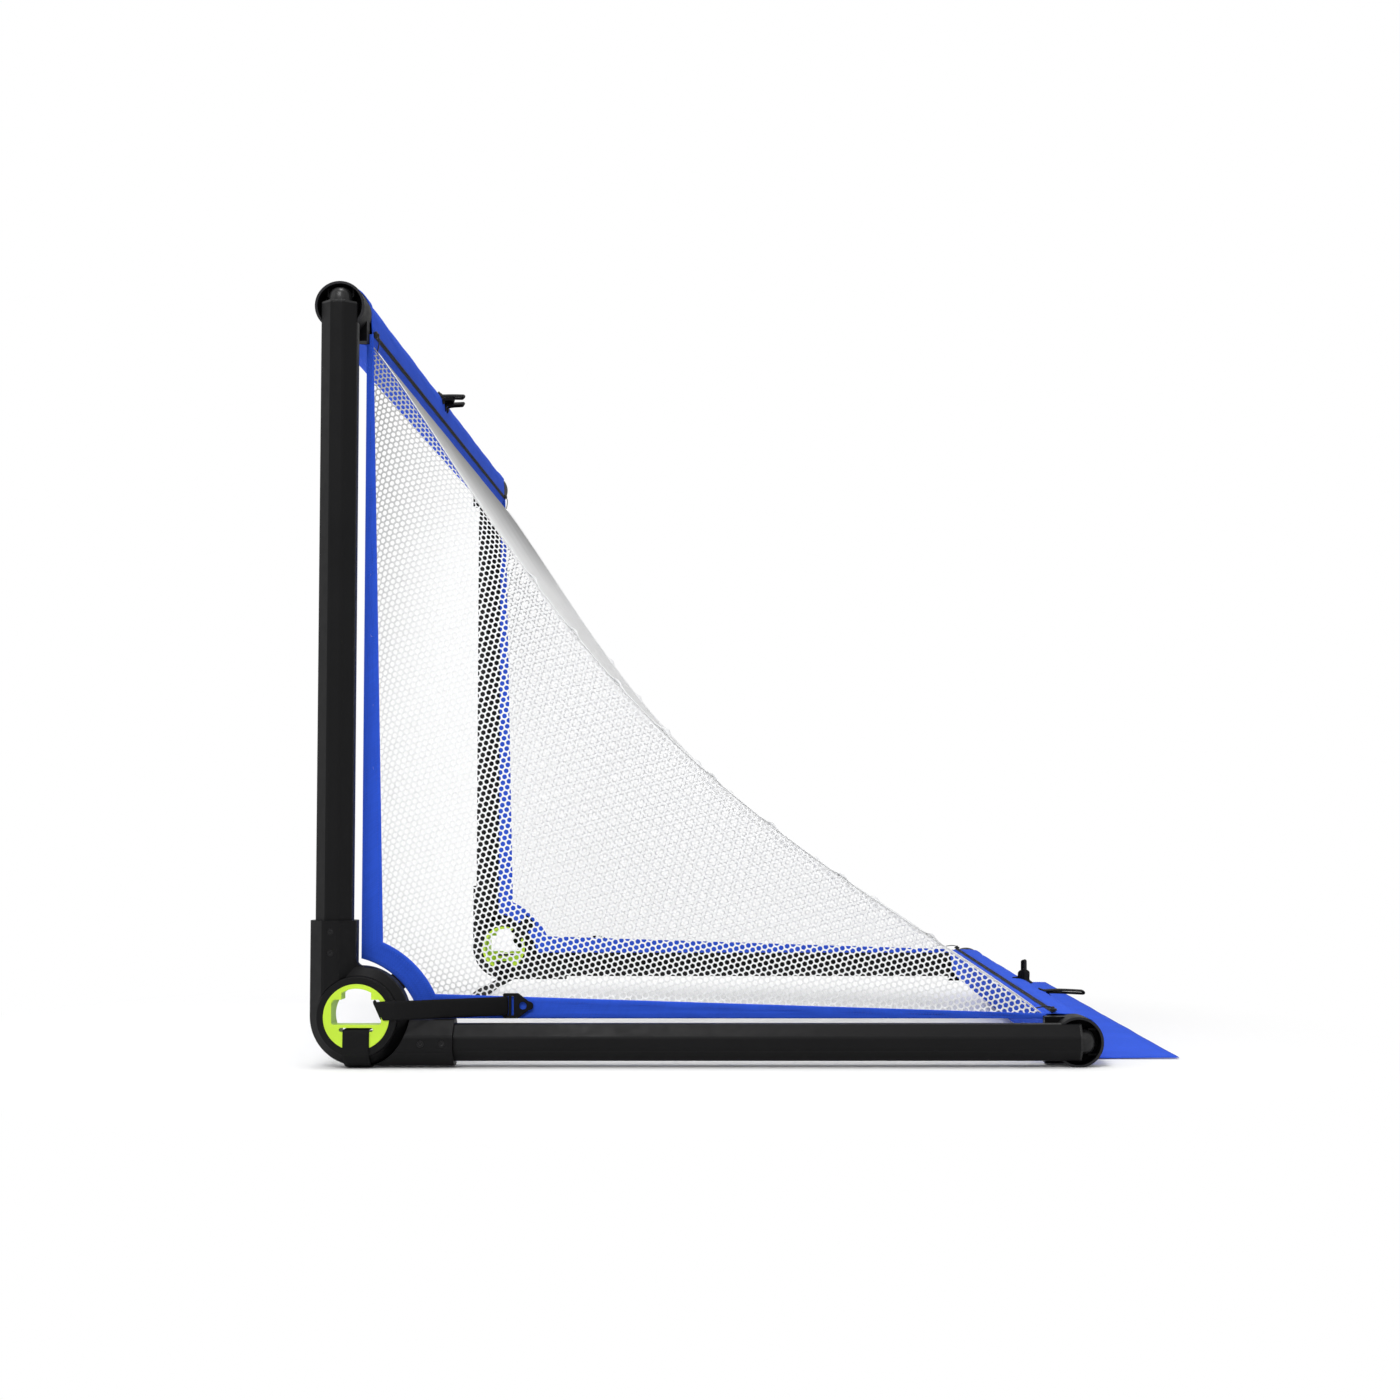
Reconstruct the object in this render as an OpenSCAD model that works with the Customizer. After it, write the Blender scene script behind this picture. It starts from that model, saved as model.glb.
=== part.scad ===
// Telescopic soccer goal: two folding side frames joined by a crossbar and a rear bar that both
// telescope, dressed with zipped sleeves, side panels and a sagging rear net.
// X runs from the goal mouth to the back, Y across the goal, Z up from the ground.
// The left side is modelled and the right one is its mirror image.

/* [Goal] */
// Overall width, over the straps on the hubs
goal_w = 1200; // [1000:10:1400]
// Height of the side frames
goal_h = 750; // [650:5:850]
// Depth of the side frames, from the front of the hub to the back of the rear corner
frame_d = 750; // [650:5:850]
// How far the ground flap reaches behind the rear bar
flap_l = 108; // [60:1:160]

/* [Side frame tubes] */
// Width of the faceted posts and ground tubes across their flats
tube_w = 35; // [32:0.5:37]
// Wall of the posts and ground tubes
tube_wall = 2; // [1:0.1:3]
// Share of the width that each bevelled corner takes
bevel_share = 0.33; // [0.25:0.01:0.36]
// How far a tube reaches into its knuckle
tube_seat = 38; // [25:1:40]

/* [Hub] */
// Width of a knuckle's leg across its flats
leg_w = 44; // [42:0.5:46]
// Reach of a knuckle's leg from the hub axis
leg_reach = 90; // [88:1:110]
// Outer radius of the knuckle discs
knuckle_r = 47; // [46:0.5:50]
// Outer radius of the hub core
core_r = 31; // [30:0.5:32]
// Outer radius of the ring round the core
ring_r = 38; // [36:0.5:40]
// How far the core stands proud of the knuckle
core_proud = 0.8; // [0.4:0.1:1.5]
// Thickness of the webbing
strap_t = 1.2; // [1:0.1:1.3]
// Width of the webbing under the hub
hub_strap_w = 25; // [18:0.5:27]
// Width of the tension strap
tension_w = 18; // [14:0.5:18]

/* [Corner sockets] */
// Height that is cut off the rear socket as its foot
foot_cut = 0.3; // [0.2:0.05:0.6]
// Depth of the bar's seat in a corner socket
bar_seat = 15; // [10:0.5:16]
// Wall of the socket's cup
cup_wall = 2.4; // [1.8:0.1:3]
// Height of a tube's end above the bar axis
tube_rise = 6.5; // [4:0.5:8]

/* [Telescoping bars] */
// Outer radius of the widest bar tube
bar_r = 19; // [17:0.5:19]
// Wall of the bar tubes
bar_wall = 1.5; // [1:0.1:1.8]
// Radial clearance between one bar tube and the next
bar_gap = 0.08; // [0.05:0.01:0.1]
// Overlap of two bar tubes when the goal is open
bar_lap = 48; // [35:1:60]
// Length of a bar collar
collar_l = 24; // [18:1:30]
// Wall of a bar collar
collar_wall = 2.5; // [1.5:0.1:2.6]

/* [Fabric] */
// Outer radius of the bar sleeves
sleeve_r = 24; // [23.8:0.1:26]
// Distance of the side panels from the middle of the goal, below the socket face
panel_gap = 2.5; // [2:0.1:4]
// Thickness of the blue fabric
cloth_t = 1.4; // [1:0.1:1.6]
// Thickness of the netting
net_t = 1.2; // [0.8:0.1:1.6]
// Sag of the rear net, square to the straight line from bar to bar
net_sag = 66; // [30:1:90]
// Pitch of the holes in the side nets
side_pitch = 27; // [26:0.5:40]
// Pitch of the holes in the rear net
rear_pitch = 62; // [60:1:90]
// Width of the net's strands
strand_w = 4; // [3:0.5:6]
// Width of the zips' tape
zip_w = 4.4; // [3.6:0.2:6]
// Width of the side panel's border beside the hub, upright part
side_wide = 20.7; // [16:0.1:24]
// Width of the same part at the crossbar
side_narrow = 6.6; // [5:0.1:9]
// Width of the border beside the hub, lower part
low_wide = 23.3; // [18:0.1:26]
// Width of the same part at the rear bar
low_narrow = 4.8; // [4:0.1:8]
// Width of the border round the hub
arc_w = 21.5; // [18:0.5:26]

/* [Webbing loops] */
// Width of the loops
loop_w = 15; // [12:0.5:20]
// Length of the top loops
top_loop_l = 28; // [22:0.5:34]
// Height of the top loops
top_loop_h = 5; // [4.6:0.2:8]
// Distance of the outer top loop from the middle of the bar
top_loop_y = 69; // [66:1:90]
// Distance between the top loops
top_loop_step = 29; // [24:1:40]
// Length of the rear loop
rear_loop_l = 24; // [20:0.5:28]
// Height of the rear loop
rear_loop_h = 6.4; // [5:0.2:9]
// Distance of the rear loop from the middle of the bar
rear_loop_y = 60; // [40:1:90]
// Length of the rear strap
rear_strap_l = 42; // [34:0.5:44]
// Height of the rear strap
rear_strap_h = 4.4; // [4.4:0.2:6]
// Width of the rear strap
rear_strap_w = 18; // [14:0.5:20]
// Distance of the rear strap from the middle of the bar
rear_strap_y = 230; // [180:1:260]

/* [Hidden] */
SIDES = ["left", "right"];
SIDE_NODES = [
    "upright_tube", "ground_tube", "upright_knuckle", "ground_knuckle", "hub_core", "hub_ring",
    "upright_screws", "ground_screws", "top_socket", "rear_socket", "upright_plug",
    "ground_plug", "tension_strap", "strap_buckle", "hub_strap", "corner_tab", "side_trim",
    "side_net"
];

$fn = 48;
fit = 0.15;
run_fit = 0.06;
part_gap = 0.3;
eps = 0.01;

// Places in the side frame. The two tubes run past the hub axis at the same distance.
leg_half = leg_w / 2;
tube_half = tube_w / 2;
leg_off = knuckle_r - leg_half;
side_y = goal_w / 2 - strap_t - part_gap - core_proud - leg_half;
hub_z = knuckle_r + part_gap + strap_t;
low_z = hub_z - leg_off;
socket_r = low_z + foot_cut;
bar_z = goal_h - socket_r;
front_reach = leg_off + max(socket_r, sleeve_r);
bar_reach = frame_d - knuckle_r - socket_r;
hub_x = (front_reach - bar_reach - flap_l) / 2;
post_x = hub_x - leg_off;
bar_x = hub_x + bar_reach;

// Corner socket, from the tube's middle plane inward
rim_y = -6;
plate_y = tube_half + 0.5;
socket_in = plate_y + bar_seat;
socket_y = side_y - socket_in;
plate_drop = 29;
cup_floor = 14;

// Hub
bore_r = core_r + run_fit;
disc_clear = 0.8;
seat_x = leg_reach - tube_seat;
screw_at = [leg_reach - 30, leg_reach - 10];
screw_r = 1.5;
screw_head_r = 3;
screw_head_h = 1.4;
ring_depth = 7.7;
web_t = 20;
inner_bore_r = core_r - 3.5;
hole_w = core_r * 1.51;
hole_low = -7;
slot_w = hub_strap_w + 7;
slot_top = -9.8;
slot_h = 3.8;
strap_z = 6.3;

// Buckle, from the hub axis. Its back lies on the side panel.
buckle_x = 131;
buckle_t = 2.4;
buckle_slot = 2.4;
buckle_slot_x = buckle_x + 3;

// Bars
stages = 4;
bar_end = side_y - plate_y;
bar_l = (2 * bar_end + (stages - 1) * bar_lap) / stages;
bar_step = bar_l - bar_lap;
function bar_radius(k) = bar_r - (k - 1) * (bar_wall + bar_gap);
collar_lip = 6;

// Fabric. The bar's zip and the net's hem lie on the inner side of each sleeve.
panel_y = socket_y - panel_gap + cloth_t;
buckle_y = side_y - panel_y - buckle_t - eps;
sleeve_y = panel_y - cloth_t - net_t - eps;
sleeve_bore = bar_r + collar_wall + eps;
zip_u = sleeve_r + 0.4;
zip_v = -18.8;
zip_half = sleeve_y - 3;
hem_u = 22.3;
hem_v = -28.6;
ground_clear = 0.3;
flap_inset = 29.5;
net_top = [post_x + hem_u, bar_z + hem_v];
net_low = [bar_x + hem_v, low_z + hem_u];
chord = net_low - net_top;
chord_l = norm(chord);
chord_dir = chord / chord_l;
sag_dir = [chord_dir[1], -chord_dir[0]];
net_steps = 20;

// Blue panel edges, measured from the hub axis
edge_gap = 1.5;
band_x = hub_x - leg_off + tube_half + edge_gap;
band_z = low_z + tube_half + edge_gap;
taper_at = 70;
cut_off = [25, 24.3];
cut_at = [hub_x - cut_off[0], hub_z - cut_off[1]];
cut_r = 78.1;

function unit(v) = v / norm(v);
function turned(v) = [-v[1], v[0]];
function sag(s) = net_sag * pow(sin(180 * s), 1.2);
function net_point(s) = net_top + chord * s + sag_dir * sag(s);
net_line = [for (i = [0:net_steps]) net_point(i / net_steps)];

// Outline of a ribbon of width t along an open line of points
function before(p, i) = unit(p[max(i, 1)] - p[max(i, 1) - 1]);
function after(p, i) = i < len(p) - 1 ? unit(p[i + 1] - p[i]) : before(p, i);
function mitre(p, i) =
    let (m = unit(turned(before(p, i)) + turned(after(p, i)))) m / (m * turned(after(p, i)));
function ribbon(p, t) = concat(
    [for (i = [0:len(p) - 1]) p[i] + mitre(p, i) * t / 2],
    [for (i = [len(p) - 1:-1:0]) p[i] - mitre(p, i) * t / 2]
);
function arc(c, r, a0, a1, n) = [
    for (i = [0:n]) let (a = a0 + (a1 - a0) * i / n) c + r * [cos(a), sin(a)]
];

// Frames
module on_side(side) {
    if (side == "right") mirror([0, 1, 0]) children();
    else children();
}

// The left hub, with Y = 0 in the tubes' middle plane and -Y outward
module at_hub() {
    translate([hub_x, -side_y, hub_z]) children();
}

// Swaps X and Z, which turns a ground piece into its upright twin
module swapped() {
    mirror([1, 0, -1]) children();
}

// A flat shape drawn in X and Z, from y0 to y1
module upright_plate(y0, y1) {
    translate([0, y1, 0]) rotate([90, 0, 0]) linear_extrude(y1 - y0) children();
}

module along_x(length) {
    rotate([90, 0, 90]) linear_extrude(length) children();
}

// A turned piece about an axis along Y, from y0 to y1
module drum(r, y0, y1) {
    translate([0, y1, 0]) rotate([90, 0, 0]) cylinder(r = r, h = y1 - y0);
}

// Octagonal section with eased corners
module faceted(w) {
    h = w / 2;
    c = h - w * bevel_share;
    intersection() {
        polygon([[c, -h], [h, -c], [h, c], [c, h], [-c, h], [-h, c], [-h, -c], [-c, -h]]);
        circle(r = w * 0.515);
    }
}

module rounded_box(x0, x1, y0, y1, r) {
    translate([x0 + r, y0]) square([x1 - x0 - 2 * r, y1 - y0]);
    translate([x0, y0 + r]) square([x1 - x0, y1 - y0 - 2 * r]);
    for (x = [x0 + r, x1 - r]) for (y = [y0 + r, y1 - r]) translate([x, y]) circle(r = r);
}

// Side frame
module side_tube(length) {
    color("#1c1c1e") difference() {
        along_x(length) faceted(tube_w);
        translate([-eps, 0, 0]) along_x(length + 2 * eps) faceted(tube_w - 2 * tube_wall);
        for (x = screw_at) translate([x - seat_x, 0, 0])
            drum(screw_r + fit, -tube_w, 0);
    }
}

module ground_tube() {
    length = bar_reach + tube_rise - seat_x;
    translate([hub_x + seat_x, -side_y, low_z]) side_tube(length);
}

module upright_tube() {
    length = bar_z - hub_z + tube_rise - seat_x;
    translate([post_x, -side_y, hub_z + seat_x]) swapped() side_tube(length);
}

// Half of the hub joint: a disc with the leg's own section swept round the hub, and the leg.
// The disc lies on the +Y side of the joint and the leg runs along +X, below the hub axis.
module knuckle() {
    fillet = 7;
    difference() {
        union() {
            intersection() {
                rotate([90, 0, 0]) rotate_extrude($fn = 96) translate([leg_off, 0]) faceted(leg_w);
                translate([-2 * knuckle_r, part_gap / 2, -2 * knuckle_r])
                    cube([4 * knuckle_r, leg_w, 4 * knuckle_r]);
            }
            translate([0, 0, -leg_off]) along_x(leg_reach) faceted(leg_w);
            upright_plate(part_gap / 2, leg_half - leg_w * bevel_share) knuckle_fillet(fillet);
        }
        drum(bore_r, -leg_w, leg_w);
        drum(knuckle_r + disc_clear, -leg_w, part_gap / 2);
        translate([seat_x, 0, -leg_off]) along_x(leg_reach) faceted(tube_w + 2 * fit);
    }
}

// The concave corner between a leg's upper edge and the rim of the disc
module knuckle_fillet(r) {
    top = leg_half - leg_off;
    centre = [sqrt(pow(knuckle_r + r, 2) - pow(top + r, 2)), top + r];
    touch = centre * knuckle_r / norm(centre);
    difference() {
        polygon([[0, top - 1], centre - [0, r + 1], centre - [0, r], touch, [0, 1]]);
        translate(centre) circle(r = r);
    }
}

// Screws enter a leg from its outer flat
module screw_holes() {
    for (x = screw_at) translate([x, 0, -leg_off]) {
        drum(screw_r + fit, -leg_w, 0);
        drum(screw_head_r + fit, -leg_w, -leg_half + screw_head_h);
    }
}

module leg_screws() {
    color("#3a3a3c") for (x = screw_at) translate([x, 0, -leg_off]) difference() {
        union() {
            drum(screw_head_r, -leg_half + 0.3, -leg_half + screw_head_h);
            drum(screw_r, -leg_half + 0.3, -tube_half + tube_wall + 4);
        }
        translate([0, -leg_half + 1, 0]) rotate([90, 0, 0]) cylinder(r = 1.5, h = 5, $fn = 6);
    }
}

module ground_knuckle() {
    color("#232326") at_hub() difference() {
        knuckle();
        screw_holes();
    }
}

module upright_knuckle() {
    color("#232326") at_hub() swapped() difference() {
        mirror([0, 1, 0]) knuckle();
        screw_holes();
        drum(ring_r + part_gap, -leg_w, -leg_half + ring_depth + part_gap);
    }
}

module ground_screws() {
    at_hub() leg_screws();
}

module upright_screws() {
    at_hub() swapped() leg_screws();
}

// The ring keeps the upright's disc on the core
module hub_ring() {
    face = leg_half + core_proud / 2;
    back = leg_half - ring_depth;
    chamfer = 1;
    color("#161617") at_hub() rotate([90, 0, 0]) rotate_extrude($fn = 96) polygon([
        [core_r + fit / 3, face], [ring_r - chamfer, face], [ring_r, face - chamfer],
        [ring_r, back], [core_r + fit / 3, back]
    ]);
}

// Opening in the core's web: wide below, stepped in above, with a straight lower edge
module core_hole() {
    intersection() {
        circle(r = inner_bore_r - 0.8);
        union() {
            rounded_box(-hole_w / 2, hole_w / 2, hole_low, core_r * 0.53, 2.5);
            rounded_box(-core_r * 0.45, core_r * 0.45, hole_low + 4, core_r, 2.5);
        }
    }
}

module hub_core() {
    face = -leg_half - core_proud;
    web_in = face + web_t;
    color("#c1e336") at_hub() difference() {
        drum(core_r, face, leg_half);
        drum(inner_bore_r, web_in, leg_w);
        upright_plate(face - 1, web_in + 1) core_hole();
        upright_plate(face - 1, web_in + 1)
            rounded_box(-slot_w / 2, slot_w / 2, slot_top - slot_h, slot_top, slot_h / 2 - eps);
    }
}

// Corner between a side tube and a bar. The bar lies on the Y axis, the tube comes from -Z.
module corner_socket(seat_r) {
    rib_x = [-12, 12];
    rib_t = 1.8;
    difference() {
        union() {
            drum(socket_r, rim_y, socket_in);
            upright_plate(plate_y, socket_in)
                translate([-leg_half, -plate_drop]) square([2 * leg_half, plate_drop]);
        }
        difference() {
            drum(socket_r - cup_wall, rim_y - 1, cup_floor);
            for (x = rib_x) translate([x - rib_t / 2, 0, tube_rise + 3])
                cube([rib_t, cup_floor + 1, socket_r]);
        }
        translate([0, 0, -socket_r - 10]) linear_extrude(socket_r + 10 + tube_rise + 2.4)
            faceted(tube_w + 2 * fit);
        drum(seat_r + fit, plate_y, socket_in + 1);
    }
}

module top_socket(seat_r) {
    color("#202022") translate([post_x, -side_y, bar_z]) corner_socket(seat_r);
}

module rear_socket(seat_r) {
    color("#202022") intersection() {
        translate([bar_x, -side_y, low_z]) swapped() corner_socket(seat_r);
        translate([bar_x - 200, -goal_w, 0]) cube([400, 2 * goal_w, 400]);
    }
}

// Plug in a tube's end: a stem inside the tube, a flange over the wall and a dome
module tube_plug() {
    dome_r = 11;
    flange_t = 2;
    color("#2a2a2c") {
        translate([0, 0, -18]) linear_extrude(18 + eps) faceted(tube_w - 2 * tube_wall - 2 * fit);
        linear_extrude(flange_t) faceted(tube_w);
        intersection() {
            translate([0, 0, flange_t]) sphere(r = dome_r);
            cylinder(r = dome_r + 1, h = 2 * dome_r);
        }
    }
}

module upright_plug() {
    translate([post_x, -side_y, bar_z + tube_rise]) tube_plug();
}

module ground_plug() {
    translate([bar_x + tube_rise, -side_y, low_z]) swapped() tube_plug();
}

// Webbing
module tension_strap() {
    low = strap_z - tension_w / 2;
    face = -leg_half - core_proud - part_gap - strap_t / 2;
    rim = sqrt(pow(inner_bore_r - 0.8, 2) - pow(low + tension_w, 2)) - strap_t - 1;
    slot_mid = buckle_slot_x + buckle_slot / 2;
    run = [
        [rim - 3, 12], [rim - 1, face + 4], [rim + 1.5, face], [ring_r + 1, face],
        [slot_mid - 1.6, buckle_y - 2.7], [slot_mid, buckle_y - 0.7],
        [slot_mid, buckle_y + 1.8]
    ];
    color("#1a1a1b") at_hub() translate([0, 0, low]) linear_extrude(tension_w)
        polygon(ribbon(run, strap_t));
}

// Slider with two slots for the webbing and a holed, pointed nose
module strap_buckle() {
    slider_h = tension_w + 6;
    slider_l = 11.5;
    nose_l = 17.5;
    nose_hole_r = 3.7;
    tip_r = 4;
    shoulder = 3;
    tip = slider_l + nose_l;
    color("#262628") at_hub() translate([buckle_x, 0, strap_z])
        upright_plate(buckle_y, buckle_y + buckle_t) difference() {
            union() {
                rounded_box(0, slider_l + 1, -slider_h / 2, slider_h / 2, 1.5);
                polygon([
                    [slider_l, -slider_h / 2], [slider_l + shoulder, -slider_h / 2],
                    [tip - shoulder, 0.9 - tip_r], [tip - shoulder, tip_r - 0.9],
                    [slider_l + shoulder, slider_h / 2], [slider_l, slider_h / 2]
                ]);
                translate([tip - tip_r, 0]) circle(r = tip_r);
            }
            for (x = [0, 5]) translate([buckle_slot_x - buckle_x + x, -tension_w / 2 - fit])
                square([buckle_slot, tension_w + 2 * fit]);
            translate([slider_l + nose_l / 2 - 1.2, 0]) circle(r = nose_hole_r);
        }
}

// Band that is threaded through the core's slot and passes under the hub
module hub_strap() {
    half = strap_t / 2;
    clear = part_gap + half;
    turn = clear * tan(22.5);
    face = leg_half + core_proud + half + eps;
    slot_z = slot_top - slot_h / 2;
    flat_y = leg_half - leg_w * bevel_share;
    bevel_z = leg_w * bevel_share - knuckle_r;
    bore_z = sqrt(pow(inner_bore_r, 2) - pow(hub_strap_w / 2, 2)) - strap_t;
    run = [
        [web_t - leg_half - core_proud, slot_z], [-face, slot_z], [-face, -ring_r - half],
        [-flat_y - turn, -knuckle_r - clear], [flat_y + turn, -knuckle_r - clear],
        [leg_half + clear, bevel_z - turn], [leg_half + clear, -bore_z],
        [leg_half - 8, 3 - bore_z]
    ];
    color("#19191a") at_hub() translate([-hub_strap_w / 2, 0, 0]) along_x(hub_strap_w)
        polygon(ribbon(run, strap_t));
}

// Tab from the core's inner rim to the back of the side panel's border at the cut-out
module corner_tab() {
    tab_w = 18.5;
    tab_at = 45;
    rim_face = leg_half + strap_t / 2 + eps;
    panel_face = side_y - panel_y + cloth_t + strap_t / 2 + eps;
    edge = cut_r - norm(cut_off);
    run = [
        [inner_bore_r - 3, rim_face], [inner_bore_r + 0.8, rim_face],
        [edge - 2.2, panel_face], [edge + 6, panel_face]
    ];
    color("#141415") at_hub() rotate([0, -tab_at, 0]) translate([0, 0, -tab_w / 2])
        linear_extrude(tab_w) polygon(ribbon(run, strap_t));
}

// Bars: each tube slides into the one before it
module bar_tube(k) {
    r = bar_radius(k);
    y0 = -bar_end + (k - 1) * bar_step;
    color("#3b3b3e") difference() {
        drum(r, y0, y0 + bar_l);
        drum(r - bar_wall, y0 - 1, y0 + bar_l + 1);
    }
}

// Collar on the mouth of tube k that guides the next tube
module bar_collar(k) {
    r = bar_radius(k);
    mouth = -bar_end + (k - 1) * bar_step + bar_l;
    ease = 1;
    color("#1d1d1f") translate([0, mouth, 0]) rotate([-90, 0, 0]) rotate_extrude() polygon([
        [r + fit / 3, -collar_l + collar_lip], [r + collar_wall - ease, -collar_l + collar_lip],
        [r + collar_wall, -collar_l + collar_lip + ease], [r + collar_wall, collar_lip - ease],
        [r + collar_wall - ease, collar_lip], [bar_radius(k + 1) + bar_gap, collar_lip],
        [bar_radius(k + 1) + bar_gap, eps], [r + fit / 3, eps]
    ]);
}

module at_crossbar() {
    translate([post_x, 0, bar_z]) children();
}

module at_rear_bar() {
    translate([bar_x, 0, low_z]) children();
}

// Fabric. A sleeve is drawn round the crossbar, and swapping X and Z gives the rear one.
module sleeve_body() {
    upright_plate(-sleeve_y, sleeve_y) difference() {
        polygon(concat([[zip_u, zip_v], [hem_u, hem_v]], arc([0, 0], sleeve_r, 268, 2, 66)));
        circle(r = sleeve_bore, $fn = 96);
    }
}

module top_sleeve() {
    color("#2f55d4") at_crossbar() sleeve_body();
}

module rear_sleeve() {
    color("#2f55d4") intersection() {
        at_rear_bar() swapped() sleeve_body();
        translate([bar_x - 200, -goal_w, ground_clear]) cube([400, 2 * goal_w, 400]);
    }
}

// Zip tape with its coil, and at each end a slider with a pull that lies on the coil
module zip_body() {
    coil_w = 2;
    slider_l = 7;
    pull_l = 12;
    translate([zip_u + eps, 0, zip_v + 1]) for (end = [0, 1]) mirror([0, end, 0]) {
        translate([0, -1, -zip_w / 2]) cube([0.8, zip_half + 1, zip_w]);
        translate([0, -1, -coil_w / 2]) cube([1.6, zip_half + 1, coil_w]);
        translate([0, zip_half - slider_l, -zip_w / 2]) cube([2.8, slider_l, zip_w]);
        translate([1.5, zip_half - slider_l - pull_l, -coil_w / 2]) cube([1, pull_l + 1, coil_w]);
    }
}

module top_zip() {
    color("#2b2b2d") at_crossbar() zip_body();
}

module rear_zip() {
    color("#2b2b2d") at_rear_bar() swapped() zip_body();
}

// Flattened loop of webbing that stands on the origin along +X and then bends by an angle
function bent(p, a) = [p[0] * cos(a) - p[1] * sin(a), p[0] * sin(a) + p[1] * cos(a)];

module webbing_loop(length, height, w, bend) {
    r = height / 2 - strap_t / 2;
    root = 2.5;
    side = 1;
    outline = concat(
        [[0, -side], [length * 0.35, -r]], arc([length - r, 0], r, -90, 90, 6),
        [[length * 0.35, r], [0, side]]
    );
    bent_part = [for (p = outline) [root, 0] + bent(p, bend)];
    upright_plate(-w / 2, w / 2) polygon(ribbon(concat([[0, -side]], bent_part, [[0, side]]), strap_t));
}

// Place of a loop on a sleeve: along the bar, and its bearing round it
module on_sleeve(y, bearing) {
    translate([0, y, 0]) rotate([0, -bearing, 0]) translate([sleeve_r + 0.1, 0, 0]) children();
}

module top_loops() {
    color("#161617") at_crossbar() {
        on_sleeve(-top_loop_y, 37) webbing_loop(top_loop_l, top_loop_h, loop_w, -38);
        on_sleeve(top_loop_step - top_loop_y, 37)
            webbing_loop(top_loop_l, top_loop_h, loop_w, -48);
    }
}

module rear_loops() {
    color("#161617") at_rear_bar() {
        on_sleeve(-rear_loop_y, 68) webbing_loop(rear_loop_l, rear_loop_h, loop_w, 0);
        on_sleeve(-rear_strap_y, 58) webbing_loop(rear_strap_l, rear_strap_h, rear_strap_w, -55);
    }
}

// Flat skirt that lies on the ground behind the rear bar
module ground_flap() {
    flap_y = sleeve_y - flap_inset;
    flap_z = 2 * ground_clear;
    lift = low_z - flap_z;
    start = sqrt(pow(sleeve_r, 2) - pow(lift - cloth_t, 2)) + eps;
    color("#2f55d4") translate([bar_x + start, -flap_y, flap_z])
        cube([flap_l - start, 2 * flap_y, cloth_t]);
}

// Side panel: a blue border and the net in it
function taper(at, from, to, wide, narrow) =
    wide - (at - from - taper_at) * (wide - narrow) / (to - from - taper_at);
function inner_x(z) = band_x + taper(z, hub_z, net_top[1], side_wide, side_narrow);
function inner_z(x) = band_z + taper(x, hub_x, net_low[0], low_wide, low_narrow);
panel_top = bar_z + zip_v;
panel_back = bar_x + zip_v;

module side_trim() {
    top = net_top[1];
    back = net_low[0];
    out_r = cut_r + arc_w;
    rise = acos((band_x - cut_at[0]) / cut_r);
    fall = asin((band_z - cut_at[1]) / cut_r);
    outer = arc(cut_at, cut_r, rise, fall, 20);
    inner = arc(cut_at, out_r, asin((band_z + low_wide - cut_at[1]) / out_r),
        acos((band_x + side_wide - cut_at[0]) / out_r), 20);
    color("#2f55d4") upright_plate(-panel_y, -panel_y + cloth_t) polygon(concat(
        [[inner_x(top), top], [inner_x(top), panel_top], [band_x, panel_top]], outer,
        [[panel_back, band_z], [panel_back, inner_z(back)], [back, inner_z(back)]], inner
    ));
}

// Depth of a point inside the rear net's curve, and its share of the way along the chord
function along(p) = ((p - net_top) * chord_dir) / chord_l;
function depth(p) = (p - net_top) * sag_dir;
function in_panel(p, m) =
    p[0] > inner_x(p[1]) + m && p[1] > inner_z(p[0]) + m
    && norm(p - cut_at) > cut_r + arc_w + m
    && along(p) > 0.02 && along(p) < 0.98 && depth(p) > sag(along(p)) + m;

module hole_grid(pitch, centres) {
    for (p = centres) translate(p) rotate(30) circle(r = (pitch - strand_w) / sqrt(3), $fn = 6);
}

function hex_centres(pitch, nu, nv) = [
    for (j = [0:nv]) for (i = [0:nu]) [(i + (j % 2) / 2) * pitch, j * pitch * sqrt(3) / 2]
];

module side_net() {
    under = 5;
    start = [band_x + under, band_z + under];
    cells = ceil(max(bar_reach, bar_z) / side_pitch * 1.2);
    centres = [
        for (p = hex_centres(side_pitch, cells, cells)) let (q = start + p)
        if (in_panel(q, side_pitch / 2)) q
    ];
    corner = [for (p = net_line) if (p[0] > start[0] && p[1] > start[1]) p];
    last = corner[len(corner) - 1];
    color("#f2f2f2") upright_plate(-panel_y + cloth_t, -panel_y + cloth_t + net_t) difference() {
        polygon(concat([start, [start[0], corner[0][1]]], corner, [[last[0], start[1]]]));
        translate(cut_at) circle(r = cut_r + arc_w - under, $fn = 96);
        hole_grid(side_pitch, centres);
    }
}

// Rear net: a sheet that sags between the two bars, with its holes square to the chord
module rear_net() {
    margin = rear_pitch * 0.6;
    rows = floor((chord_l - 2 * margin) / (rear_pitch * sqrt(3) / 2));
    columns = floor((2 * sleeve_y - 2 * margin) / rear_pitch);
    offset_u = (chord_l - rows * rear_pitch * sqrt(3) / 2) / 2;
    tilt = atan2(-chord[1], chord[0]);
    color("#f4f4f4") difference() {
        upright_plate(-sleeve_y, sleeve_y) polygon(ribbon(net_line, net_t));
        translate([net_top[0], 0, net_top[1]]) rotate([0, tilt, 0])
            translate([offset_u, -(columns + 0.5) * rear_pitch / 2, -net_sag - 20])
            linear_extrude(net_sag + 40) rear_holes(columns, rows);
    }
}

module rear_holes(columns, rows) {
    centres = [for (p = hex_centres(rear_pitch, columns, rows)) [p[1], p[0]]];
    for (p = centres) translate(p) circle(r = (rear_pitch - 1.5 * strand_w) / sqrt(3), $fn = 6);
}

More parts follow.
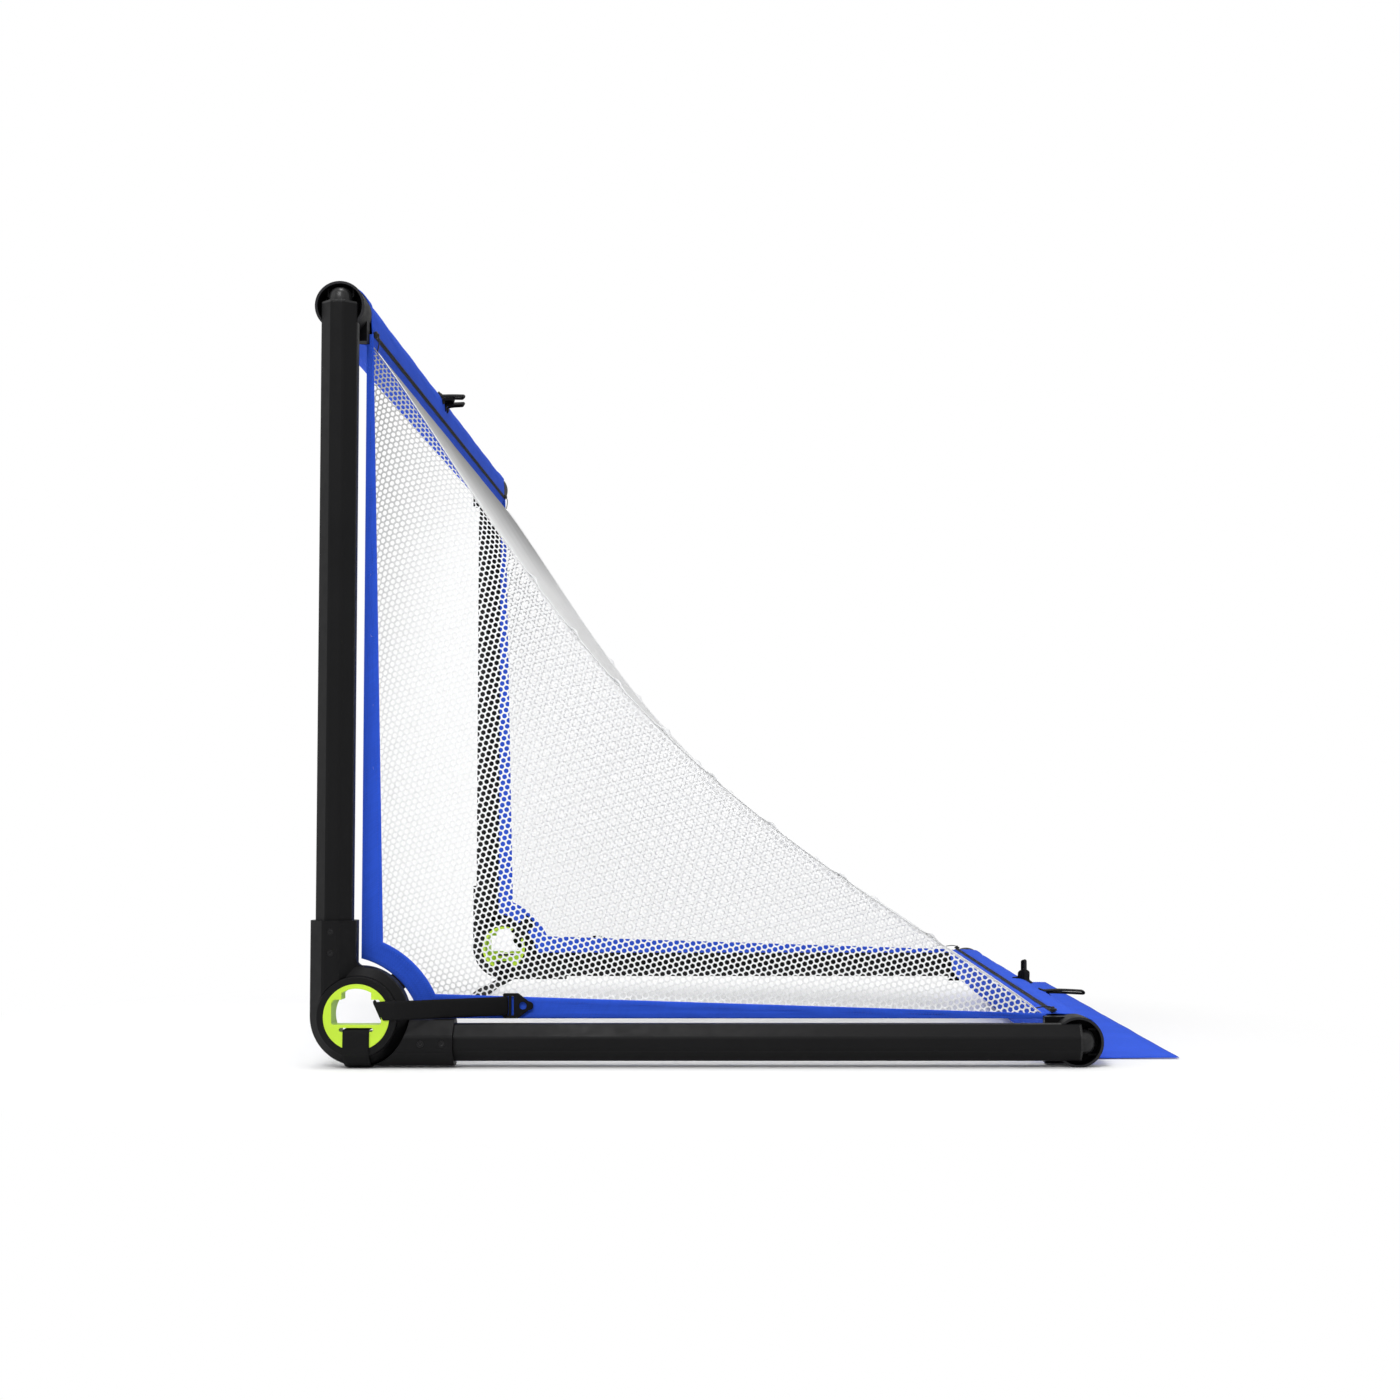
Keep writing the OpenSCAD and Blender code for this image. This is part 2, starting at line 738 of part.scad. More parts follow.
// Nodes
for (side = SIDES) on_side(side) {
    bar_seat_r = bar_radius(side == "left" ? 1 : stages);
    upright_tube();
    ground_tube();
    upright_knuckle();
    ground_knuckle();
    hub_core();
    hub_ring();
    upright_screws();
    ground_screws();
    top_socket(bar_seat_r);
    rear_socket(bar_seat_r);
    upright_plug();
    ground_plug();
    tension_strap();
    strap_buckle();
    hub_strap();
    corner_tab();
    side_trim();
    side_net();
}
for (k = [1:stages]) {
    at_crossbar() bar_tube(k);
    at_rear_bar() bar_tube(k);
}
for (k = [1:stages - 1]) {
    at_crossbar() bar_collar(k);
    at_rear_bar() bar_collar(k);
}
top_sleeve();
rear_sleeve();
top_zip();
rear_zip();
top_loops();
rear_loops();
ground_flap();
rear_net();
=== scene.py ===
"""Looks of the telescopic soccer goal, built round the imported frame. Lengths are in metres."""
import math

import bmesh
import bpy
import numpy as np
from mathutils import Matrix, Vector


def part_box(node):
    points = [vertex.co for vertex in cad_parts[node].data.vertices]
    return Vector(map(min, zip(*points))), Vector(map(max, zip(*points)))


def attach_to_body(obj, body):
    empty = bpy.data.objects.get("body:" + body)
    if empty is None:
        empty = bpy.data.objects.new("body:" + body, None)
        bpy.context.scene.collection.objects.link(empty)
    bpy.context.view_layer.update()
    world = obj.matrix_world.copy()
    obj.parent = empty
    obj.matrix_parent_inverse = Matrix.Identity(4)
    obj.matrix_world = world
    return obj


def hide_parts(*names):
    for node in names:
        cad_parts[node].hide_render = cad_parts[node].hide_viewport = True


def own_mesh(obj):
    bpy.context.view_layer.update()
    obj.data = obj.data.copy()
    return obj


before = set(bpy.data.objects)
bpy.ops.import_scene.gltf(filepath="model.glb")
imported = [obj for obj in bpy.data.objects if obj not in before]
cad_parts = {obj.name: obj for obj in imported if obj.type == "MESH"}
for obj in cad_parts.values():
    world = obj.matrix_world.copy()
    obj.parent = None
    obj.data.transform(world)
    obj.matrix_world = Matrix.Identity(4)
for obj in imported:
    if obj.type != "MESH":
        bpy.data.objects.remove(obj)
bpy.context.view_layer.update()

SIDE_SIGN = {"left": -1.0, "right": 1.0}
FOLD_JOINT = {"left": "fold", "right": "fold_right"}
MM = 0.001

# Places that the source of the CAD gives, from the goal's middle on the ground: the hub, the
# middle plane of a side frame, the ground tube, the post, the rear bar and the crossbar
HUB_X, HUB_Z = -0.3691, 0.0485
SIDE_Y = 0.5757
LOW_Z = 0.0235
POST_X, BAR_X, BAR_Z = -0.3941, 0.3101, 0.7262

# Sleeves, with the zip and the hem from a bar's axis
SLEEVE_R, SLEEVE_Y = 0.024, 0.53899
ZIP_U, ZIP_V = 0.0244, -0.0188
HEM_U, HEM_V = 0.0223, -0.0286

# Side panel: its outer face, the outer edges of its border, the cut-out round the hub, and the
# widths between which the border narrows, from TAPER_AT past the hub to the sleeves
PANEL_Y = 0.5416
CLOTH_T, NET_T, STRAP_T = 0.0014, 0.0012, 0.0012
BAND_X = HUB_X - 0.006
BAND_Z = LOW_Z + 0.019
CUT_OFF = np.array([0.025, 0.0243])
CUT_AT = np.array([HUB_X, HUB_Z]) - CUT_OFF
CUT_R, ARC_W = 0.0781, 0.0215
SIDE_WIDE, SIDE_NARROW = 0.0207, 0.0066
LOW_WIDE, LOW_NARROW = 0.0233, 0.0048
TAPER_AT = 0.070

NET_SAG = 0.066
FLAP_L, FLAP_Y = 0.108, 0.5095


def add_camera():
    """Camera at the place and with the lens that the photograph was taken with."""
    data = bpy.data.cameras.new("photo_camera")
    data.sensor_width = 36
    data.lens = 56.06
    data.shift_x, data.shift_y = -0.0468, 0.0136
    data.clip_end = 60
    camera = bpy.data.objects.new("photo_camera", data)
    camera.location = (HUB_X + 0.3835, -2.651, 0.2291)
    camera.rotation_euler = (math.radians(92.765), 0, 0)
    bpy.context.collection.objects.link(camera)
    bpy.context.scene.camera = camera


class Nodes:
    """Node tree of a material or of the world. An input is linked where its value is a socket."""

    def __init__(self, owner):
        owner.use_nodes = True
        self.owner = owner
        self.tree = owner.node_tree
        self.tree.nodes.clear()

    def add(self, kind, inputs=None, **values):
        node = self.tree.nodes.new(kind)
        for key, value in values.items():
            setattr(node, key, value)
        for key, value in (inputs or {}).items():
            if isinstance(value, bpy.types.NodeSocket):
                self.tree.links.new(value, node.inputs[key])
            else:
                node.inputs[key].default_value = value
        return node

    def object_place(self):
        return self.add("ShaderNodeTexCoord").outputs["Object"]

    def split(self, vector):
        return self.add("ShaderNodeSeparateXYZ", {0: vector}).outputs

    def math(self, operation, *values):
        return self.add("ShaderNodeMath", dict(enumerate(values)), operation=operation).outputs[0]

    def noise(self, coordinates, scale, detail):
        inputs = {"Scale": scale, "Detail": detail, "Vector": coordinates}
        return self.add("ShaderNodeTexNoise", inputs).outputs["Fac"]

    def remap(self, value, from_min=0.0, from_max=1.0, to_min=0.0, to_max=1.0, **values):
        inputs = {"Value": value, "From Min": from_min, "From Max": from_max,
                  "To Min": to_min, "To Max": to_max}
        return self.add("ShaderNodeMapRange", inputs, **values).outputs[0]

    def spread(self, noise, low, high):
        """Takes a noise from its usual range to low and high."""
        return self.remap(noise, 0.3, 0.7, low, high)

    def mix(self, factor, a, b):
        """Colour between a, which may be a socket, and b."""
        a = a if isinstance(a, bpy.types.NodeSocket) else (*a, 1)
        inputs = {"Factor": factor, 6: a, 7: (*b, 1)}
        return self.add("ShaderNodeMix", inputs, data_type="RGBA").outputs[2]

    def edge_mask(self, rounded, broken):
        """1 on an edge and 0 on a flat face, broken up by a noise."""
        flat = self.add("ShaderNodeNewGeometry").outputs["Normal"]
        same = self.add("ShaderNodeVectorMath", {0: rounded, 1: flat}, operation="DOT_PRODUCT")
        edge = self.remap(same.outputs["Value"], 0.99, 0.80)
        return self.math("MULTIPLY", edge, self.spread(broken, 0.2, 1))

    def bump(self, height, strength, distance, **under):
        inputs = {"Strength": strength, "Distance": distance, "Height": height, **under}
        return self.add("ShaderNodeBump", inputs).outputs["Normal"]

    def surface(self, colour, roughness, normal, **fixed):
        inputs = {"Base Color": colour, "Roughness": roughness, "Normal": normal}
        inputs.update((key.replace("_", " "), value) for key, value in fixed.items())
        shader = self.add("ShaderNodeBsdfPrincipled", inputs)
        self.add("ShaderNodeOutputMaterial", {"Surface": shader.outputs[0]})
        return self.owner


def shade(colour, factor):
    return tuple(c * factor for c in colour)


def moulded(name, colour, rough, grain=900.0, depth=0.4, scuff=0.12, edge=0.0007, painted_light_tone=1.6,
            painted_highlight_face=None, **fixed):
    """Moulded or coated surface: fine grain, slow changes of gloss, faint handling marks, and edges
    that are rounded by edge and painted lighter by a factor, which stands for both edge wear and a
    painted edge highlight. The pair for raised faces is a distance along Y and a factor: faces
    further out than that get a painted highlight, their colour lighter by that factor."""
    n = Nodes(bpy.data.materials.new(name))
    place = n.object_place()
    slow = n.noise(place, 14, 4)
    marks = n.noise(place, 120, 6)
    rounded = n.add("ShaderNodeBevel", {"Radius": edge}, samples=4).outputs[0]
    plain = n.mix(n.spread(slow, 0, 1), shade(colour, 0.9), shade(colour, 1.12))
    # Edges painted lighter: partly edge wear, partly a painted highlight along the edges.
    colour_out = n.mix(n.edge_mask(rounded, marks), plain, shade(colour, painted_light_tone))
    # Painted highlight: faces further out along Y than the given distance are painted lighter,
    # standing for light on a socket's outward rim.
    if painted_highlight_face is not None:
        outer = n.math("GREATER_THAN", n.math("ABSOLUTE", n.split(place)["Y"]), painted_highlight_face[0])
        painted_highlight_mask = n.math("MULTIPLY", outer, n.spread(slow, 0.7, 1))
        colour_out = n.mix(painted_highlight_mask, colour_out, shade(colour, painted_highlight_face[1]))
    roughness = n.math("ADD", n.spread(slow, rough - 0.04, rough + 0.04), n.spread(marks, 0, scuff))
    height = n.math("ADD", n.noise(place, grain, 2), n.math("MULTIPLY", marks, 0.4))
    return n.surface(colour_out, roughness, n.bump(height, depth, 0.00004, Normal=rounded), **fixed)


def woven(name, colour, pitch, rough=0.8, depth=0.5, contrast=0.18, ribs=False, **fixed):
    """Woven cloth on the piece's own UV map, which is in metres: warp, weft and slow fading."""
    n = Nodes(bpy.data.materials.new(name))
    uv = n.add("ShaderNodeUVMap", uv_map="cloth").outputs[0]
    across = n.split(uv)
    turn = 2 * math.pi / pitch
    warp = n.math("SINE", n.math("MULTIPLY", across[0], turn))
    weft = n.math("SINE", n.math("MULTIPLY", across[1], turn * (0.5 if ribs else 1)))
    weave = n.math("ADD", n.math("MULTIPLY", n.math("MULTIPLY", warp, weft), 0.5), 0.5)
    slow = n.spread(n.noise(n.object_place(), 22, 4), 0, 1)
    halves = []
    for scale in ((40, 900, 1), (900, 40, 1)):
        drawn = n.add("ShaderNodeMapping", {"Scale": scale, "Vector": uv}).outputs[0]
        halves.append(n.math("MULTIPLY", n.noise(drawn, 1, 2), 0.5))
    threads = n.math("ADD", *halves)
    tone = n.math("ADD", n.math("MULTIPLY", n.spread(threads, 0, 1), 0.5),
                  n.math("MULTIPLY", slow, 0.2))
    tone = n.math("ADD", tone, n.math("MULTIPLY", weave, 0.3))
    colour_out = n.mix(tone, shade(colour, 1 - contrast), shade(colour, 1 + contrast))
    roughness = n.spread(threads, rough - 0.06, rough + 0.06)
    height = n.math("ADD", weave, n.math("MULTIPLY", threads, 0.6))
    return n.surface(colour_out, roughness, n.bump(height, depth, 0.00012), **fixed)


def netting(name, colour, painted_light_tone, reach_x, reach_z):
    """Knitted strands: a fine noise in place of the loops, and a painted shade that darkens the net
    towards the crossbar, and also towards the post where reach_x is given, its edge broken by a
    slow noise. reach_x is 0 where the painted shade changes with height alone."""
    n = Nodes(bpy.data.materials.new(name))
    place = n.object_place()
    knit = n.noise(place, 1400, 2)
    slow = n.noise(place, 9, 3)
    at = n.split(place)
    # Painted shade: the net darkens towards the crossbar, and on the side nets towards the post.
    away = n.math("MULTIPLY", n.math("SUBTRACT", BAR_Z - 0.06, at["Z"]), 1 / reach_z)
    if reach_x:
        from_post = n.math("MULTIPLY", n.math("SUBTRACT", at["X"], HUB_X), 1 / reach_x)
        away = n.math("ADD", away, from_post)
    away = n.math("ADD", away, n.math("MULTIPLY", slow, 0.2))
    free_of_painted_shade = n.remap(away, interpolation_type="SMOOTHSTEP")
    colour_out = n.mix(free_of_painted_shade, shade(colour, painted_light_tone), colour)
    roughness = n.spread(knit, 0.7, 0.9)
    return n.surface(colour_out, roughness, n.bump(knit, 0.4, 0.0002), Specular_IOR_Level=0.2)


BLACK = moulded("black_moulding", (0.0040, 0.0040, 0.0044), 0.40, Specular_IOR_Level=0.11)
# Sockets: the outward face of the rim gets a painted highlight, 5.5 times lighter.
SOCKET = moulded("black_socket", (0.0048, 0.0048, 0.0052), 0.46, painted_light_tone=1.3,
                 painted_highlight_face=(SIDE_Y + 0.0055, 5.5), Specular_IOR_Level=0.05)
PLUG = moulded("black_plug", (0.0080, 0.0080, 0.0085), 0.30, grain=1600, scuff=0.06,
               Specular_IOR_Level=0.28)
BLACK_SOFT = moulded("black_ring", (0.0048, 0.0048, 0.0052), 0.50, grain=1400,
                     Specular_IOR_Level=0.11)
COAT = moulded("tube_coat", (0.0058, 0.0058, 0.0062), 0.34, grain=2200, depth=0.5,
               Specular_IOR_Level=0.09)
BAR_METAL = moulded("bar_metal", (0.045, 0.045, 0.05), 0.34, grain=1800, Metallic=0.6)
LIME = moulded("lime_moulding", (0.50, 0.74, 0.026), 0.42, grain=700, scuff=0.08)
# Screw heads: edges painted much lighter, a painted highlight round each head as well as wear.
SCREW = moulded("screw_black", (0.0075, 0.0075, 0.0080), 0.36, grain=2600, edge=0.0008, painted_light_tone=5.0,
                Specular_IOR_Level=0.16)
BLUE = woven("blue_cloth", (0.031, 0.099, 0.66), 0.0021, contrast=0.20, depth=0.35,
             Specular_IOR_Level=0.06)
WEBBING = woven("webbing", (0.0062, 0.0062, 0.0066), 0.0016, ribs=True, depth=0.7, contrast=0.3,
                Specular_IOR_Level=0.12)
THREAD = moulded("thread", (0.03, 0.08, 0.5), 0.7, grain=2500)
ZIP_TAPE = woven("zip_tape", (0.030, 0.031, 0.034), 0.0009, depth=0.4, contrast=0.2,
                 Specular_IOR_Level=0.1)
ZIP_COIL = moulded("zip_coil", (0.012, 0.012, 0.013), 0.45, grain=2500, Specular_IOR_Level=0.2)
# The third number is the tone of the painted shade near the crossbar.
NET = netting("white_netting", (0.90, 0.905, 0.915), 0.46, 0.25, 0.45)
NET_BACK = netting("white_netting_rear", (0.95, 0.95, 0.95), 0.44, 0, 0.17)
BINDING = woven("net_binding", (0.92, 0.925, 0.93), 0.0012, contrast=0.05, depth=0.4)

CAD_LOOKS = {
    "upright_tube": COAT, "ground_tube": COAT, "upright_knuckle": BLACK, "ground_knuckle": BLACK,
    "hub_core": LIME, "hub_ring": BLACK_SOFT, "upright_screws": SCREW, "ground_screws": SCREW,
    "top_socket": SOCKET, "rear_socket": SOCKET, "upright_plug": PLUG, "ground_plug": PLUG,
    "strap_buckle": BLACK_SOFT, "crossbar_tube": BAR_METAL, "rear_bar_tube": BAR_METAL,
    "crossbar_collar": BLACK, "rear_bar_collar": BLACK,
}


def dress_cad_nodes():
    for name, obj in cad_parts.items():
        look = CAD_LOOKS.get(name.rsplit("_", 1)[0], BLACK)
        if not obj.material_slots:
            obj.data.materials.append(look)
        for slot in obj.material_slots:
            slot.material = look


def attach(obj, body, slot, node=None):
    """Puts a piece on the body that it rides on and hides the solid that it stands for. slot is not
    used.
    """
    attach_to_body(obj, body)
    if node:
        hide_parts(node)


def add_tube_end(kind, side, axis, body, drop, tip):
    """A side tube whose end lies lower in its socket by drop, and its plug with a taller and
    blunter dome, whose top is lower by tip."""
    end_zone, flange, dome_r, blunt_r, blunt = 0.002, 0.002, 0.011, 0.0118, 2.7
    tube, plug = f"{kind}_tube_{side}", f"{kind}_plug_{side}"
    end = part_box(tube)[1][axis]
    for node, name, look, slot in (
            (tube, f"{kind}_tube_body_{side}", COAT, "tube_coat"),
            (plug, f"{kind}_plug_cap_{side}", PLUG, "black_plastic")):
        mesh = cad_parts[node].data.copy()
        points = np.empty(3 * len(mesh.vertices))
        mesh.vertices.foreach_get("co", points)
        points = points.reshape(-1, 3)
        over = points[:, axis] - end
        if node == tube:
            points[over > -end_zone, axis] -= drop
        else:
            low, high = (np.array(corner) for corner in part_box(plug))
            centre = (low + high) / 2
            across = [k for k in range(3) if k != axis]
            radius = np.linalg.norm(points[:, across] - centre[across], axis=1)
            dome = (over > flange - 0.0001) & (radius < dome_r + 0.0005)
            stretch = (dome_r + drop - tip) / dome_r
            up = np.clip((over[dome] - flange) / dome_r, 0, 1)
            wider = blunt_r * (1 - up ** blunt) ** (1 / blunt) / np.maximum(radius[dome], 0.0002)
            for k in across:
                points[dome, k] = centre[k] + (points[dome, k] - centre[k]) * wider
            points[dome, axis] = end + flange - drop + (over[dome] - flange) * stretch
            points[~dome, axis] -= drop
        mesh.vertices.foreach_set("co", points.ravel())
        mesh.materials.clear()
        mesh.materials.append(look)
        mesh.polygons.foreach_set("material_index", [0] * len(mesh.polygons))
        mesh.update()
        mesh.name = name
        obj = bpy.data.objects.new(name, mesh)
        bpy.context.collection.objects.link(obj)
        attach(obj, body, slot, node)


def new_piece(name, points, faces, material, uv=None, smooth=True):
    """A mesh. uv holds a pair in metres for each point."""
    mesh = bpy.data.meshes.new(name)
    mesh.from_pydata(np.asarray(points, float).tolist(), [], [list(map(int, f)) for f in faces])
    if uv is not None:
        layer = mesh.uv_layers.new(name="cloth")
        corner = np.empty(len(mesh.loops), dtype=np.int32)
        mesh.loops.foreach_get("vertex_index", corner)
        layer.data.foreach_set("uv", np.asarray(uv, float)[corner].ravel())
    mesh.materials.append(material)
    mesh.update()
    if smooth:
        mesh.polygons.foreach_set("use_smooth", [True] * len(mesh.polygons))
    obj = bpy.data.objects.new(name, mesh)
    bpy.context.collection.objects.link(obj)
    return obj


def face_outward(obj):
    edit = bmesh.new()
    edit.from_mesh(obj.data)
    bmesh.ops.recalc_face_normals(edit, faces=edit.faces)
    edit.to_mesh(obj.data)
    edit.free()


def joined(name, parts):
    """One piece from several; their materials stay."""
    for obj in bpy.context.selected_objects:
        obj.select_set(False)
    for part in parts:
        part.select_set(True)
    bpy.context.view_layer.objects.active = parts[0]
    bpy.ops.object.join()
    parts[0].name = name
    parts[0].data.name = name
    return parts[0]


def grid_faces(rows, columns, closed_columns=False, start=0):
    """Quads of a grid whose point (i, j) has the number start + i * columns + j."""
    faces = []
    for i in range(rows - 1):
        for j in range(columns if closed_columns else columns - 1):
            a, b = start + i * columns, start + (i + 1) * columns
            k = (j + 1) % columns
            faces.append((a + j, b + j, b + k, a + k))
    return faces


def run_length(points):
    """How far along a line each of its points lies."""
    return np.concatenate([[0], np.cumsum(np.linalg.norm(np.diff(points, axis=0), axis=1))])


def resampled(points, n):
    """n points at even steps along a line."""
    points = np.asarray(points, float)
    at = run_length(points)
    want = np.linspace(0, at[-1], n)
    return np.stack([np.interp(want, at, points[:, k]) for k in range(points.shape[1])], axis=1)


def eased(points, passes=2):
    """Rounds a line's corners by cutting them, with its ends kept."""
    points = np.asarray(points, float)
    for _ in range(passes):
        a, b = points[:-1], points[1:]
        cut = np.stack([a * 0.75 + b * 0.25, a * 0.25 + b * 0.75], axis=1)
        points = np.concatenate([points[:1], cut.reshape(-1, points.shape[1]), points[-1:]])
    return points


def ribbon(name, edge_a, edge_b, thick, material, n, across=9):
    """A band of webbing or cloth between two edge lines, with both faces and thinner edges."""
    edge_share = 0.25
    a, b = resampled(eased(edge_a), n), resampled(eased(edge_b), n)
    middle = (a + b) / 2
    wide = b - a
    normal = np.cross(np.gradient(middle, axis=0), wide)
    normal /= np.linalg.norm(normal, axis=1, keepdims=True)
    width = np.linalg.norm(wide, axis=1).mean()
    t = np.linspace(0, 1, across)
    edge = np.clip(np.minimum(t, 1 - t) * width / (thick * 1.2), 0, 1)
    half = thick / 2 * (edge_share + (1 - edge_share) * np.sqrt(1 - (1 - edge) ** 2))
    length = run_length(middle)
    points, uv = [], []
    for i in range(n):
        for side in (1, -1):
            for j in range(across)[::side]:
                points.append(a[i] + wide[i] * t[j] + normal[i] * half[j] * side)
                uv.append((length[i], width * t[j]))
    columns = 2 * across
    faces = grid_faces(n, columns, closed_columns=True)
    faces += [range(columns - 1, -1, -1), range((n - 1) * columns, n * columns)]
    obj = new_piece(name, points, faces, material, uv)
    face_outward(obj)
    return obj


def stitches(line, out, step=0.0028, length=0.0019, r=0.00028):
    """A row of short stitches along a line, lying on a surface whose outward way is out."""
    line, out = np.asarray(line, float), np.asarray(out, float)
    at = run_length(line)
    points, faces = [], []
    for s in np.arange(step / 2, at[-1] - step / 2, step):
        p, q = (np.array([np.interp(x, at, line[:, k]) for k in range(3)]) for x in (s, s + length))
        way = (q - p) / max(np.linalg.norm(q - p), 1e-9)
        wide = np.cross(way, out)
        k = len(points)
        middle = (p + q) / 2
        points += [p, middle + wide * r, q, middle - wide * r, middle + out * r * 1.4]
        faces += [(k + m, k + (m + 1) % 4, k + 4) for m in range(4)]
        faces.append((k, k + 3, k + 2, k + 1))
    return new_piece("row", points, faces, THREAD, [(0, 0)] * len(points))


# Netting: pitch of the cells, radius of their holes and thickness of the strands. The side nets'
# grain is turned, and they are gathered by so much, fading over so much, at the rear and the post.
PITCH, HOLE_R, STRAND_T = 0.0060, 0.00238, 0.0010
GRAIN = math.radians(15)
GRAIN_TURN = np.array([[math.cos(GRAIN), math.sin(GRAIN)], [-math.sin(GRAIN), math.cos(GRAIN)]])
EDGE_GATHER, EDGE_REACH = 0.016, 0.028
POST_GATHER, POST_REACH = 0.006, 0.011

# The rear net's curve from the top hem to the rear hem, with s from 0 to 1 along its chord and u
# the length along the curve
NET_TOP = np.array([POST_X + HEM_U, BAR_Z + HEM_V])
NET_LOW = np.array([BAR_X + HEM_V, LOW_Z + HEM_U])
CHORD = NET_LOW - NET_TOP
CHORD_L = float(np.linalg.norm(CHORD))
CHORD_DIR = CHORD / CHORD_L
SAG_DIR = np.array([CHORD_DIR[1], -CHORD_DIR[0]])


def sag(s):
    return NET_SAG * np.sin(np.pi * np.clip(s, 0, 1)) ** 1.2


S_TABLE = np.linspace(0, 1, 2001)
LINE_TABLE = NET_TOP + CHORD * S_TABLE[:, None] + SAG_DIR * sag(S_TABLE)[:, None]
U_TABLE = run_length(LINE_TABLE)
CURVE_L = float(U_TABLE[-1])


def net_cells(u0, u1, v0, v1, corners, keep):
    """Cells with a hole each on a hexagonal grid, where keep(u, v) says which centres stay.
    Returns the points, their faces in two lists and how deep each point lies in the strand:
    0 at a cell's corners, and -1 and 1 at the two rims of its hole. corners is 6 or 12."""
    rise = PITCH * math.sqrt(3) / 2
    rows = np.arange(math.ceil(v0 / rise), math.floor(v1 / rise) + 1)
    columns = np.arange(math.ceil(u0 / PITCH) - 1, math.floor(u1 / PITCH) + 1)
    j, i = np.meshgrid(rows, columns, indexing="ij")
    centre = np.stack([(i + (j % 2) / 2) * PITCH, j * rise], axis=-1).reshape(-1, 2)
    centre = centre[(centre[:, 0] >= u0) & (centre[:, 0] <= u1)]
    centre = centre[keep(centre[:, 0], centre[:, 1])]
    n = len(centre)
    corner_a = np.radians(30 + 60 * np.arange(6))
    star = np.stack([np.cos(corner_a), np.sin(corner_a)], 1)
    corner = (centre[:, None, :] + PITCH / math.sqrt(3) * star).reshape(-1, 2)
    keys = np.round(corner / (PITCH / 100)).astype(np.int64)
    _, first, shared = np.unique(keys, axis=0, return_index=True, return_inverse=True)
    shared = shared.reshape(n, 6)
    hole_a = np.radians(30 + 360 / corners * np.arange(corners))
    radius = HOLE_R * (1 - 0.05 * np.cos(6 * hole_a))
    ring = np.stack([radius * np.cos(hole_a), radius * np.sin(hole_a)], 1)
    hole = (centre[:, None, :] + ring).reshape(-1, 2)
    base, rim = len(first), n * corners
    number = base + np.arange(rim).reshape(n, corners)
    behind = number + rim
    step = corners // 6
    cells, walls = [], []
    for k in range(6):
        inner = [number[:, (k * step + m) % corners] for m in range(step + 1)]
        cells.append(np.stack(inner + [shared[:, (k + 1) % 6], shared[:, k]], 1)[:, ::-1])
    for k in range(corners):
        m = (k + 1) % corners
        walls.append(np.stack([number[:, k], behind[:, k], behind[:, m], number[:, m]], 1)[:, ::-1])
    points = np.concatenate([corner[first], hole, hole])
    deep = np.repeat([0.0, -1.0, 1.0], [base, rim, rim])
    return points, np.concatenate(cells).tolist() + np.concatenate(walls).tolist(), deep


def curve_at(u):
    """X and Z on the rear net's curve."""
    return np.stack([np.interp(u, U_TABLE, LINE_TABLE[:, k]) for k in (0, 1)], -1)


def share_and_depth(points):
    """s of each point along the chord, and how far the point lies from the chord."""
    moved = points - NET_TOP
    return moved @ CHORD_DIR / CHORD_L, moved @ SAG_DIR


def taper(at, start, end, wide, narrow):
    return wide - (at - start - TAPER_AT) * (wide - narrow) / (end - start - TAPER_AT)


def inner_x(z):
    """The upright border's inner edge."""
    return BAND_X + taper(z, HUB_Z, NET_TOP[1], SIDE_WIDE, SIDE_NARROW)


def inner_z(x):
    """The lower border's inner edge."""
    return BAND_Z + taper(x, HUB_X, NET_LOW[0], LOW_WIDE, LOW_NARROW)


def gather(at, most, reach):
    """Squeezes what lies beyond an edge by up to most back inside it, and fades over reach."""
    return at + most * np.exp(-np.maximum(at + most, 0) / reach)


def fold_down(obj, joint):
    """Gives the piece its own copy of its mesh."""
    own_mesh(obj)


